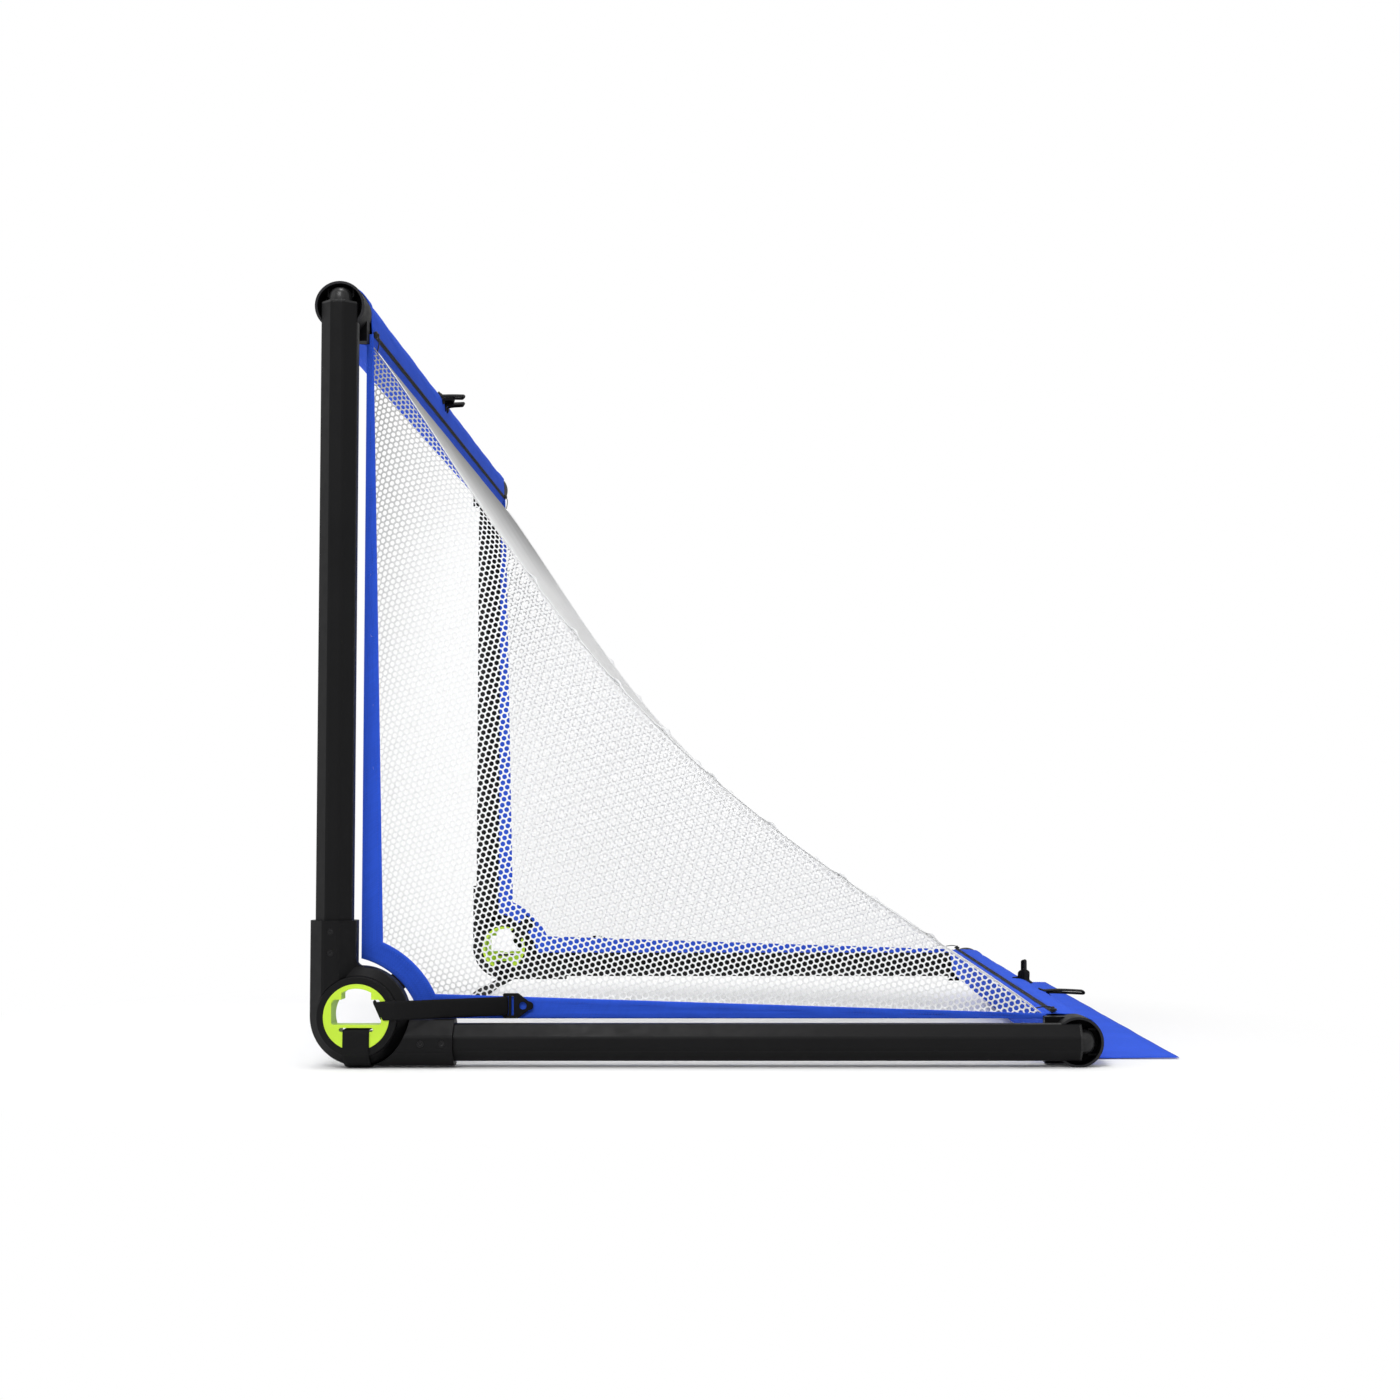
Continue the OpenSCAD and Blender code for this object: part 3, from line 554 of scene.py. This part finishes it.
def add_side_net(side):
    """Netting of a side panel, tucked under the border and cut along the rear net's curve. Its
    rows of holes run at a slant, gathered at the post and at the upper part of the curve."""
    tuck = 0.005
    out_r = CUT_R + ARC_W

    def edge_gather(share):
        return EDGE_GATHER * np.clip((0.50 - share) / 0.25, 0.02, 1)

    def pulled(p):
        """Where the border and the rear hem pull a point of the flat netting."""
        s, d = share_and_depth(p)
        inside = d - sag(s)
        p = p + SAG_DIR * (gather(inside, edge_gather(s), EDGE_REACH) - inside)[:, None]
        beside = p[:, 0] - (inner_x(p[:, 1]) - tuck)
        wave = np.sin(p[:, 1] / 0.0131) * 0.5 + np.sin(p[:, 1] / 0.0047) * 0.5
        lift = np.exp(-np.maximum(beside, 0) / 0.012) * (wave * 0.0012 - 0.0035)
        x = p[:, 0] + gather(beside, POST_GATHER, POST_REACH) - beside
        return np.stack([x, p[:, 1] + lift], 1)

    def keep(u, v):
        p = np.stack([u, v], 1) @ GRAIN_TURN
        s, d = share_and_depth(p)
        x, z = pulled(p).T
        from_hub = np.linalg.norm(np.stack([x, z], 1) - CUT_AT, axis=1)
        return ((p[:, 0] > inner_x(p[:, 1]) - tuck - POST_GATHER) & (x > BAND_X + 0.003)
                & (z > np.maximum(inner_z(x) - tuck, BAND_Z + 0.003)) & (from_hub > out_r - tuck)
                & (s > 0.004) & (s < 0.996) & (d > sag(s) - edge_gather(s) - PITCH * 0.2))

    reach = np.array([[HUB_X - 0.02, LOW_Z], [BAR_X, LOW_Z], [HUB_X - 0.02, BAR_Z]]) @ GRAIN_TURN.T
    (u0, v0), (u1, v1) = reach.min(axis=0), reach.max(axis=0)
    corners = 12
    cut, faces, deep = net_cells(u0, u1, v0, v1, corners, keep)
    flat = pulled(cut @ GRAIN_TURN)
    s, d = share_and_depth(flat)
    flat = flat + SAG_DIR * np.maximum(sag(s) + 0.0005 - d, 0)[:, None]
    flat[:, 0] = np.maximum(flat[:, 0], BAND_X + 0.0015)
    x, z = flat.T
    under = np.maximum(np.maximum(inner_x(z) - x, inner_z(x) - z),
                       out_r - np.linalg.norm(flat - CUT_AT, axis=1))
    sewn = np.clip(1 + (under + 0.0004) / 0.0030, 0, 1)
    slack = np.sin(x * 21 + 1) * np.sin(z * 17) * 0.0003
    free_y, sewn_y = PANEL_Y - CLOTH_T - NET_T / 2 + slack, PANEL_Y - CLOTH_T / 2
    across = SIDE_SIGN[side] * (free_y * (1 - sewn) + sewn_y * sewn)
    depth = deep * STRAND_T / 2 * (1 - 0.6 * sewn)
    points = np.stack([x, across + depth, z], 1)
    obj = new_piece(f"side_net_cloth_{side}", points, faces, NET, flat)
    attach(obj, f"{side}_base", "white_net", f"side_net_{side}")
    fold_down(obj, FOLD_JOINT[side])


def rear_net_point(u, y):
    """Place of the rear net at u along its curve and y across, with its slack in the middle."""
    s = np.interp(u, U_TABLE, S_TABLE)
    across = np.clip(np.abs(y) / SLEEVE_Y, 0, 1)
    deep = 0.009 * np.sin(np.pi * s) * (1 - across ** 2.5)
    folds = np.sin(y * 61 + 4 * s) * np.sin(y * 23) * 0.0012 * np.sin(np.pi * s)
    place = curve_at(u) + SAG_DIR * (deep + folds)[..., None]
    return np.stack([place[..., 0], y, place[..., 1]], -1)


def add_rear_net():
    """Four strips side by side, one for each telescoping stage. Closed, they lie in layers."""
    bodies = ("left_base", "rear_stage_2", "rear_stage_3", "right_base")
    width = 2 * SLEEVE_Y / len(bodies)
    for k, body in enumerate(bodies):
        y0 = -SLEEVE_Y + k * width
        y1 = y0 + width

        def keep(u, v):
            return (v > y0) & (v <= y1)

        flat, faces, deep = net_cells(0.002, CURVE_L - 0.002, y0 - PITCH, y1 + PITCH, 6, keep)
        u = np.clip(flat[:, 0], 0, CURVE_L)
        y = np.clip(flat[:, 1], -SLEEVE_Y + 0.0002, SLEEVE_Y - 0.0002)
        points = rear_net_point(u, y)
        layer = (k - 1.5) * 0.0003 + deep * STRAND_T / 2
        points[:, 0] += SAG_DIR[0] * layer
        points[:, 2] += SAG_DIR[1] * layer
        obj = new_piece(f"rear_net_cloth_{k + 1}", points, faces, NET_BACK, flat)
        attach(obj, body, "white_net", "rear_net")
        fold_down(obj, "fold")


def add_net_binding(side):
    """White tape that joins the side net to the rear net, with the small tucks of the seam."""
    n = 420
    tucks = (0.30, 0.37, 0.44, 0.51, 0.58, 0.66, 0.75, 0.86)
    u = np.linspace(0.012, CURVE_L - 0.012, n)
    s = np.interp(u, U_TABLE, S_TABLE)
    tuck = sum(np.exp(-((s - c) / 0.006) ** 2) for c in tucks)
    edges = []
    for y, inward in ((SLEEVE_Y - 0.0055, 0.0006), (SLEEVE_Y + NET_T, 0.0009 + 0.0032 * tuck)):
        line = curve_at(u) - SAG_DIR * np.broadcast_to(inward, n)[:, None]
        edges.append(np.stack([line[:, 0], np.full(n, SIDE_SIGN[side] * y), line[:, 1]], 1))
    obj = ribbon(f"net_binding_{side}", *edges, 0.0008, BINDING, n, across=7)
    attach(obj, f"{side}_base", "white_net")
    fold_down(obj, FOLD_JOINT[side])


def trim_edges(n_straight=90, n_arc=44):
    """The border's outer and inner edge lines, point for point."""
    back = BAR_X + HEM_V
    panel_top, panel_back = BAR_Z + ZIP_V, BAR_X + ZIP_V
    rise = math.acos((BAND_X - CUT_AT[0]) / CUT_R)
    fall = math.asin((BAND_Z - CUT_AT[1]) / CUT_R)

    def arc(r, a0, a1):
        a = np.linspace(a0, a1, n_arc)
        return CUT_AT + r * np.stack([np.cos(a), np.sin(a)], 1)

    outer_arc = arc(CUT_R, rise, fall)
    out_r = CUT_R + ARC_W
    inner_arc = arc(out_r, math.acos((BAND_X + SIDE_WIDE - CUT_AT[0]) / out_r),
                    math.asin((BAND_Z + LOW_WIDE - CUT_AT[1]) / out_r))
    t = np.linspace(0, 1, n_straight)[:, None]
    outer_up = np.array([BAND_X, panel_top]) * (1 - t) + outer_arc[0] * t
    z = panel_top * (1 - t[:, 0]) + inner_arc[0][1] * t[:, 0]
    inner_up = np.stack([inner_x(z), z], 1)
    outer_low = outer_arc[-1] * (1 - t) + np.array([panel_back, BAND_Z]) * t
    x = inner_arc[-1][0] * (1 - t[:, 0]) + back * t[:, 0]
    inner_low = np.stack([x, inner_z(x)], 1)
    outer = np.concatenate([outer_up[:-1], outer_arc, outer_low[1:]])
    inner = np.concatenate([inner_up[:-1], inner_arc, inner_low[1:]])
    return outer, inner


def add_side_trim(side):
    """Blue border of a side panel, with a sewn fold along both edges."""
    sign = SIDE_SIGN[side]
    outer, inner = trim_edges()
    n, across = len(outer), 15
    hem_w, row_at = 0.0062, 0.0046
    hem_half, plain_half = 0.0007, 0.0004
    t = np.linspace(0, 1, across)
    wide = np.linalg.norm(inner - outer, axis=1)
    length = run_length((outer + inner) / 2)
    mid_y = PANEL_Y - CLOTH_T / 2
    points, uv = [], []
    for i in range(n):
        for face in (1, -1):
            for j in range(across)[::face]:
                p = outer[i] * (1 - t[j]) + inner[i] * t[j]
                edge = min(t[j], 1 - t[j]) * wide[i]
                half = (hem_half if edge < hem_w else plain_half) * min(1, 0.35 + edge / 0.001)
                ripple = 0.00025 * math.sin(length[i] * 95 + 3 * t[j]) * math.sin(math.pi * t[j])
                points.append((p[0], sign * (mid_y + face * half + ripple), p[1]))
                uv.append((length[i], wide[i] * t[j]))
    columns = 2 * across
    faces = grid_faces(n, columns, closed_columns=True)
    faces += [range(columns), range((n - 1) * columns, n * columns)]
    cloth = new_piece(f"side_trim_{side}_sheet", points, faces, BLUE, uv)
    face_outward(cloth)
    parts = [cloth]
    for face in (1, -1):
        for a, b in ((outer, inner), (inner, outer)):
            line = a + (b - a) / np.linalg.norm(b - a, axis=1, keepdims=True) * row_at
            y = np.full(n, sign * (mid_y + face * hem_half))
            parts.append(stitches(np.stack([line[:, 0], y, line[:, 1]], 1), (0, sign * face, 0)))
    obj = joined(f"side_trim_cloth_{side}", parts)
    attach(obj, f"{side}_base", "blue_fabric", f"side_trim_{side}")
    fold_down(obj, FOLD_JOINT[side])


def at_top(u, v):
    """X and Z of a point that is given from the crossbar's axis: u towards the rear, v up."""
    return POST_X + u, BAR_Z + v


def at_rear(u, v):
    """The same for the rear bar, whose sleeve lies turned: u up, v towards the rear."""
    return BAR_X + v, LOW_Z + u


def close_up(obj):
    """Gives the piece its own copy of its mesh."""
    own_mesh(obj)


def sleeve_profile(n_arc=64):
    """Outer line of a sleeve's section, from the zip over the bar and round to the hem."""
    a = np.radians(np.linspace(2, 262, n_arc))
    circle = SLEEVE_R * np.stack([np.cos(a), np.sin(a)], 1)
    under = np.array([-0.0040, -0.0243])
    hem = np.array([HEM_U, HEM_V])
    edge = np.array([ZIP_U, ZIP_V])
    t = np.linspace(0, 1, 14)[:, None]
    low = under * (1 - t) + hem * t
    back = hem * (1 - t[1:]) + edge * t[1:]
    up = edge * (1 - t[1:-1]) + circle[0] * t[1:-1]
    return np.concatenate([circle, low, back, up])


def add_sleeve(name, node, body, to_place, floor=None):
    """Cloth round a bar. Its section closes at the hem, the hem's far corners are cut away, and at
    both ends a tongue of the cloth reaches over the socket."""
    profile = sleeve_profile()
    n = len(profile)
    inward = np.array([0.0, -0.002]) - profile
    inward /= np.linalg.norm(inward, axis=1, keepdims=True)
    perimeter = run_length(profile)
    end_from, tongue_from, lift_from = 0.93, 0.985, 0.97
    corner_cut, tongue_l, tongue_lift = 0.009, 0.021, 0.0017
    below = np.clip((-0.006 - profile[:, 1]) / 0.0226, 0, 1) * (profile[:, 0] > 0.004)
    bearing = np.degrees(np.arctan2(profile[:, 1], profile[:, 0]))
    tongue = np.clip((bearing - 12) / 26, 0, 1) * np.clip((172 - bearing) / 26, 0, 1)
    tongue = tongue ** 2 * (3 - 2 * tongue)
    stations = np.concatenate([np.linspace(-1, -end_from, 20), np.linspace(-0.92, 0.92, 150),
                               np.linspace(end_from, 1, 20)])
    thick = CLOTH_T * 0.75
    outer, inner, uv = [], [], []
    for t in stations:
        near_end = max(abs(t) - end_from, 0) / 0.07
        over = np.clip((abs(t) - tongue_from) / 0.015, 0, 1)
        lift = np.clip((abs(t) - lift_from) / 0.01, 0, 1)
        for k in range(n):
            y = t * SLEEVE_Y - math.copysign(corner_cut * below[k] ** 2 * near_end, t)
            ruck = (math.sin(y * 47 + 5 * math.sin(perimeter[k] * 31))
                    * math.sin(y * 19 + perimeter[k] * 40))
            y += math.copysign(tongue_l * (tongue[k] * over), t)
            puff = 0.00035 * ruck * (1 - near_end) - 0.0004 * near_end
            puff += tongue_lift * tongue[k] * lift
            point = profile[k] - inward[k] * puff
            outer.append((*point, y))
            inner.append((*(point + inward[k] * thick), y))
            uv.append((y, perimeter[k]))
    rows = len(stations)
    points = []
    for u, v, y in outer + inner:
        x, z = to_place(u, v)
        points.append((x, y, z if floor is None else max(z, floor)))
    size = rows * n
    faces = grid_faces(rows, n, closed_columns=True)
    faces += [f[::-1] for f in grid_faces(rows, n, closed_columns=True, start=size)]
    for row in (0, rows - 1):
        for j in range(n):
            a, b = row * n + j, row * n + (j + 1) % n
            quad = (a, b, b + size, a + size)
            faces.append(quad if row == 0 else quad[::-1])
    cloth = new_piece(name + "_sheet", points, faces, BLUE, uv + uv)
    face_outward(cloth)
    parts = [cloth]
    y_line = np.linspace(-SLEEVE_Y + 0.012, SLEEVE_Y - 0.012, 300)
    (x1, z1), (x0, z0) = to_place(1, 0), to_place(0, 0)
    out = Vector((x1 - x0, 0, z1 - z0)).normalized()
    for u, v in ((ZIP_U, ZIP_V + 0.0068), (HEM_U + 0.0017, HEM_V + 0.0042)):
        x, z = to_place(u, v)
        parts.append(stitches(np.stack([np.full(300, x), y_line, np.full(300, z)], 1), out))
    obj = joined(name, parts)
    attach(obj, body, "blue_fabric", node)
    close_up(obj)


def add_zip(name, node, body, to_place):
    """Tape, coil and a slider with a pull at each end, on the sleeve's rear face."""
    near, far = -SLEEVE_Y + 0.002, SLEEVE_Y - 0.010
    face = ZIP_U + 0.0011

    def place(u, v, y):
        """u from the tape's face and v from the zip's lower line."""
        x, z = to_place(face + u, ZIP_V + v)
        return (x, y, z)

    n = 90
    y = np.linspace(near, far, n)
    sides = [[place(u, v, at) for at in y] for u, v in ((-0.0007, -0.0014), (0, 0.0034))]
    parts = [ribbon("tape", *sides, 0.0007, ZIP_TAPE, n)]
    points, faces = [], []
    step = 0.0021
    for y0 in np.arange(near + 0.004, far - 0.004, step):
        for low, high, shift in ((0.0001, 0.0011, 0), (0.0010, 0.0020, step / 2)):
            k = len(points)
            a, b = y0 + shift, y0 + shift + step * 0.62
            for u, inset in ((0.0002, 0), (0.0011, 0.0003)):
                points += [place(u, low + inset, a + inset), place(u, high - inset, a + inset),
                           place(u, high - inset, b - inset), place(u, low + inset, b - inset)]
            faces += [(k + 4, k + 5, k + 6, k + 7)]
            faces += [(k + m, k + (m + 1) % 4, k + 4 + (m + 1) % 4, k + 4 + m) for m in range(4)]
    parts.append(new_piece("coil", points, faces, ZIP_COIL, [(0, 0)] * len(points), smooth=False))
    for sign, end in ((-1, near), (1, far)):
        y0 = end - sign * 0.004
        parts += [zip_slider(place, sign, y0), zip_pull(place, sign, y0)]
    obj = joined(name, parts)
    attach(obj, body, "zip", node)
    close_up(obj)


def zip_slider(place, sign, y0):
    """Slider body: a wedge with a bridge over it."""
    outline = [(-0.0042, -0.0026), (0.0012, -0.0036), (0.0042, -0.0022), (0.0042, 0.0022),
               (0.0012, 0.0036), (-0.0042, 0.0026)]
    levels = ((0.0004, 0.0), (0.0020, 0.0), (0.0026, 0.0006))
    points = []
    for u, inset in levels:
        shrink = 1 - inset / 0.0036
        points += [place(u, 0.0010 + v * shrink, y0 + sign * a * shrink) for a, v in outline]
    n = len(outline)
    faces = grid_faces(len(levels), n, closed_columns=True)
    faces += [range(n * (len(levels) - 1), n * len(levels)), range(n - 1, -1, -1)]
    arch = ((-0.003, 0.0024), (-0.0016, 0.0040), (0.0016, 0.0040), (0.003, 0.0024))
    sides = [[place(u, v, y0 + sign * a) for a, u in arch] for v in (-0.0004, 0.0022)]
    bridge = ribbon("bridge", *sides, 0.0008, ZIP_COIL, 16, across=5)
    body = new_piece("slider", points, faces, ZIP_COIL, [(0, 0)] * len(points), smooth=False)
    face_outward(body)
    return joined("slider", [body, bridge])


def zip_pull(place, sign, y0):
    """Cord pull that hangs from the bridge."""
    line = [(0.0034, 0.0, 0.0), (0.0046, -0.004, 0.0012), (0.0042, -0.010, 0.0022),
            (0.0030, -0.016, 0.0030)]
    sides = [[place(u, v, y0 + sign * half + sign * w) for u, v, w in line]
             for half in (-0.0012, 0.0012)]
    return ribbon("pull", *sides, 0.0012, ZIP_COIL, 22, across=5)


def band(name, line, wide_dir, width, n, thick=STRAP_T):
    """Webbing along a line, with the same width direction all the way."""
    line, half = np.asarray(line, float), np.asarray(wide_dir, float)
    half = half / np.linalg.norm(half) * width / 2
    return ribbon(name, line - half, line + half, thick, WEBBING, n)


def loop_line(length, height, foot, bend, bearing):
    """X and Z from a bar's axis of a flattened loop, which stands on the sleeve at a bearing and
    then bends by an angle. Its ends are sewn flat on the sleeve, foot to either side."""
    r = height / 2 - STRAP_T / 2
    sewn = (foot + 0.0055, foot + 0.0025, foot)
    b, c = math.radians(bend), math.radians(bearing)

    def on_sleeve(q):
        return 0.0010 - q * q / (2 * SLEEVE_R), q

    def bent(p, q):
        return 0.0025 + p * math.cos(b) - q * math.sin(b), p * math.sin(b) + q * math.cos(b)

    nose = [bent(length - r + r * math.cos(a), r * math.sin(a))
            for a in np.radians(np.linspace(-90, 90, 9))]
    points = [on_sleeve(-q) for q in sewn] + [bent(length * 0.3, -r)] + nose
    points += [bent(length * 0.3, r)] + [on_sleeve(q) for q in sewn[::-1]]
    return [((SLEEVE_R + p) * math.cos(c) - q * math.sin(c),
             (SLEEVE_R + p) * math.sin(c) + q * math.cos(c)) for p, q in eased(points, 1)]


def add_loops():
    """The webbing loops on both sleeves, with short folded layers at their feet."""
    # What loop_line takes, then the place along Y, the width, and the tilt of the width in X and Z
    groups = (
        ("top_loops", "left_post", (POST_X, BAR_Z), (
            (0.0255, 0.0046, 0.0022, -30, 29, -0.069, 0.015, (0, 0.36)),
            (0.0190, 0.0038, 0.0022, -16, 19, -0.038, 0.015, (0, 0.42)),
            (0.0100, 0.0080, 0.0036, -22, 24, -0.053, 0.013, (0, 0.80)),
            (0.0085, 0.0034, 0.0018, -22, 24, -0.052, 0.013, (0, 0.80)))),
        ("rear_loops", "left_base", (BAR_X, LOW_Z), (
            (0.0205, 0.0044, 0.0028, 22, 68, -0.060, 0.015, (0.34, 0)),
            (0.0085, 0.0082, 0.0040, 20, 69, -0.062, 0.013, (0.80, 0)),
            (0.0075, 0.0036, 0.0018, 20, 69, -0.062, 0.013, (0.80, 0)),
            (0.0420, 0.0042, 0.0014, -61, 58, -0.230, 0.018, (0, 0.02)))),
    )
    for node, body, (x0, z0), loops in groups:
        parts = []
        for *shape, y, width, (tilt_x, tilt_z) in loops:
            line = [(x0 + x, y, z0 + z) for x, z in loop_line(*shape)]
            parts.append(band("loop", line, (tilt_x, 1, tilt_z), width, 70, thick=0.0016))
        obj = joined(node + "_webbing", parts)
        attach(obj, body, "webbing", node)
        close_up(obj)


def add_straps(side):
    """A side frame's three webbings, in millimetres from the left hub, with -Y outward."""
    body = f"{side}_base"

    def place(x, y, z):
        return (HUB_X + x * MM, SIDE_SIGN[side] * (SIDE_Y - y * MM), HUB_Z + z * MM)

    # Tension strap: it folds over the edge of the hub's opening at a slant
    face = -23.7
    upper = [(11.5, 11, 13.9), (14.2, -15, 13.9), (16.5, face, 14.2), (27, face, 15.2),
             (39, face, 15.3), (133.6, 29.6, 15.3), (135.2, 31.0, 15.3), (135.2, 33.5, 15.3)]
    lower = [(19.5, 11, -3.2), (21.6, -15, -3.2), (25.2, face, -3.0), (31, face, -2.8),
             (39, face, -2.7), (133.6, 29.6, -2.7), (135.2, 31.0, -2.7), (135.2, 33.5, -2.7)]
    sides = [[place(*p) for p in edge] for edge in (upper, lower)]
    strap = ribbon(f"tension_webbing_{side}", *sides, STRAP_T, WEBBING, 90, across=11)
    attach(strap, body, "webbing", f"tension_strap_{side}")
    fold_down(strap, FOLD_JOINT[side])

    # Strap through the slot, over the ring and under the hub
    run = [(-2.8, -11.7), (-20, -11.7), (-23.41, -12.4), (-23.41, -30), (-23.41, -38.6),
           (-7.85, -47.9), (7.85, -47.9), (22.9, -32.85), (22.9, -23.3), (14, -20.3)]
    line = [place(0, y, z) for y, z in run]
    attach(band(f"hub_webbing_{side}", line, (1, 0, 0), 0.025, 90), body, "webbing",
           f"hub_strap_{side}")

    # Tab from the hub to the panel's cut-out and on under the border, halfway between the tubes
    edge = (CUT_R - float(np.linalg.norm(CUT_OFF))) / MM
    run = [(24.5, 22.61), (28.3, 22.61), (edge - 2.2, 36.11), (edge + 16, 36.11)]
    bearing = math.radians(45)
    c, s = math.cos(bearing), math.sin(bearing)
    line = [place(r * c, y, r * s) for r, y in run]
    attach(band(f"corner_webbing_{side}", line, (-s, 0, c), 0.0185, 30), body, "webbing",
           f"corner_tab_{side}")


def add_mouth_strap():
    """Wavy webbing on the ground across the goal's mouth, from one hub strap to the other."""
    end = SIDE_Y - 0.009
    t = np.linspace(-1, 1, 60)
    free = 1 - t ** 6
    x = HUB_X + 0.0025 * free * np.sin(t * 4.1 + 0.6)
    z = 0.0008 + 0.0011 * free * (1 + np.sin(t * 9.3) * np.sin(t * 3.7 + 1))
    obj = band("mouth_webbing", np.stack([x, t * end, z], 1), (1, 0, 0.02), 0.025, 160)
    attach(obj, "left_base", "webbing")
    close_up(obj)


def add_flap():
    """Skirt on the ground: one sheet from the rear sleeve, hemmed on its three free sides."""
    start, end = BAR_X + 0.0106, BAR_X + FLAP_L
    nx, ny = 26, 170
    hem_w, hem_half, plain_half = 0.009, 0.0007, 0.00045

    def middle_z(x, y):
        return 0.0013 + 0.0003 * (1 + math.sin(y * 33 + 2) * math.sin(y * 11 + x * 40))

    points = []
    for face in (1, -1):
        for i in range(nx):
            for j in range(ny):
                x = start + (end - start) * i / (nx - 1)
                y = -FLAP_Y + 2 * FLAP_Y * j / (ny - 1)
                edge = min(end - x, FLAP_Y - abs(y))
                half = (hem_half if edge < hem_w else plain_half) * min(1, 0.4 + edge / 0.001)
                points.append((x, y, middle_z(x, y) + face * half))
    size = nx * ny
    faces = grid_faces(nx, ny)
    faces += [f[::-1] for f in grid_faces(nx, ny, start=size)]
    rim = list(range(ny)) + [i * ny + ny - 1 for i in range(1, nx)]
    rim += [(nx - 1) * ny + j for j in range(ny - 2, -1, -1)]
    rim += [i * ny for i in range(nx - 2, 0, -1)]
    faces += [(a, b, b + size, a + size) for a, b in zip(rim, rim[1:] + rim[:1])]
    cloth = new_piece("ground_flap_sheet", points, faces, BLUE, [(x, y) for x, y, _ in points])
    face_outward(cloth)
    row_y, row_x = FLAP_Y - hem_w + 0.0018, end - hem_w + 0.0018
    row = [(start + 0.004, -row_y), (row_x, -row_y), (row_x, row_y), (start + 0.004, row_y)]
    line = [(x, y, middle_z(x, y) + 0.00072) for x, y in resampled(row, 500)]
    obj = joined("ground_flap_cloth", [cloth, stitches(line, (0, 0, 1))])
    attach(obj, "left_base", "blue_fabric", "ground_flap")
    close_up(obj)


def add_floor():
    """Pale floor that takes the goal's shadow and fades to white further away. The fade is centred
    nearer to the left frame, which stands closest to the camera."""
    n = Nodes(bpy.data.materials.new("floor_white"))
    near = n.add("ShaderNodeVectorMath", {0: n.object_place(), 1: (0.12, 0.24, 0)}, operation="ADD")
    away = n.add("ShaderNodeVectorMath", {0: near.outputs[0]}, operation="LENGTH")
    fade = n.remap(away.outputs["Value"], 0.50, 0.82, interpolation_type="SMOOTHSTEP")
    diffuse = n.add("ShaderNodeBsdfDiffuse", {"Color": (0.88, 0.88, 0.88, 1)}).outputs[0]
    glow = n.add("ShaderNodeEmission").outputs[0]
    both = n.add("ShaderNodeMixShader", {0: fade, 1: diffuse, 2: glow})
    n.add("ShaderNodeOutputMaterial", {"Surface": both.outputs[0]})
    half = 30
    points = [(-half, -half, 0), (half, -half, 0), (half, half, 0), (-half, half, 0)]
    new_piece("floor", points, [range(4)], n.owner, smooth=False)


def add_sky():
    """White to the camera and to reflections. It lights the goal more from overhead than from the
    horizon, and less from behind the rear net."""
    bpy.context.scene.world = bpy.data.worlds.new("studio")
    n = Nodes(bpy.context.scene.world)
    ray = n.add("ShaderNodeLightPath").outputs
    shown = n.math("MAXIMUM", ray["Is Camera Ray"], ray["Is Glossy Ray"])
    way = n.split(n.add("ShaderNodeTexCoord").outputs["Generated"])
    dim = n.remap(n.math("MULTIPLY_ADD", way["X"], -0.55, way["Z"]), -0.35, 0.9, 0.09, 0.90)
    inputs = {"Color": (1, 1, 1, 1), "Strength": n.remap(shown, to_min=dim)}
    background = n.add("ShaderNodeBackground", inputs)
    n.add("ShaderNodeOutputWorld", {"Surface": background.outputs[0]})


def add_lamps():
    for name, place, aim, size, power in (
            ("front", (-0.6, -2.8, 2.6), (0, 0, 0.3), 1.1, 48.0),
            ("side", (-3.4, -0.8, 1.1), (0, 0, 0.3), 3.6, 13.0),
            ("top", (-0.32, -0.7, 2.5), (-0.1, -0.4, 0.05), 0.55, 14.0),
            ("glint", (0.9, -2.7, 2.0), (0, -0.5, 0.3), 0.25, 1.6),
            ("glint_left", (-2.6, -2.0, 2.1), (-0.3, -0.5, 0.6), 0.3, 2.6)):
        light = bpy.data.lights.new(name, "AREA")
        light.shape = "SQUARE"
        light.size = size
        light.energy = power
        lamp = bpy.data.objects.new(name, light)
        lamp.location = place
        lamp.rotation_euler = (Vector(aim) - Vector(place)).to_track_quat("-Z", "Y").to_euler()
        bpy.context.collection.objects.link(lamp)


add_camera()
dress_cad_nodes()
for side in SIDE_SIGN:
    add_tube_end("upright", side, 2, f"{side}_post", drop=0.0052, tip=0.0010)
    add_tube_end("ground", side, 0, f"{side}_base", drop=0.0060, tip=0.0038)
    add_side_trim(side)
    add_side_net(side)
    add_net_binding(side)
    add_straps(side)
add_sleeve("top_sleeve_cloth", "top_sleeve", "left_post", at_top)
add_sleeve("rear_sleeve_cloth", "rear_sleeve", "left_base", at_rear,
           floor=0.0003)
add_zip("top_zip_parts", "top_zip", "left_post", at_top)
add_zip("rear_zip_parts", "rear_zip", "left_base", at_rear)
add_loops()
add_mouth_strap()
add_flap()
add_rear_net()
add_floor()
add_sky()
add_lamps()
bpy.context.scene.view_settings.view_transform = "Standard"
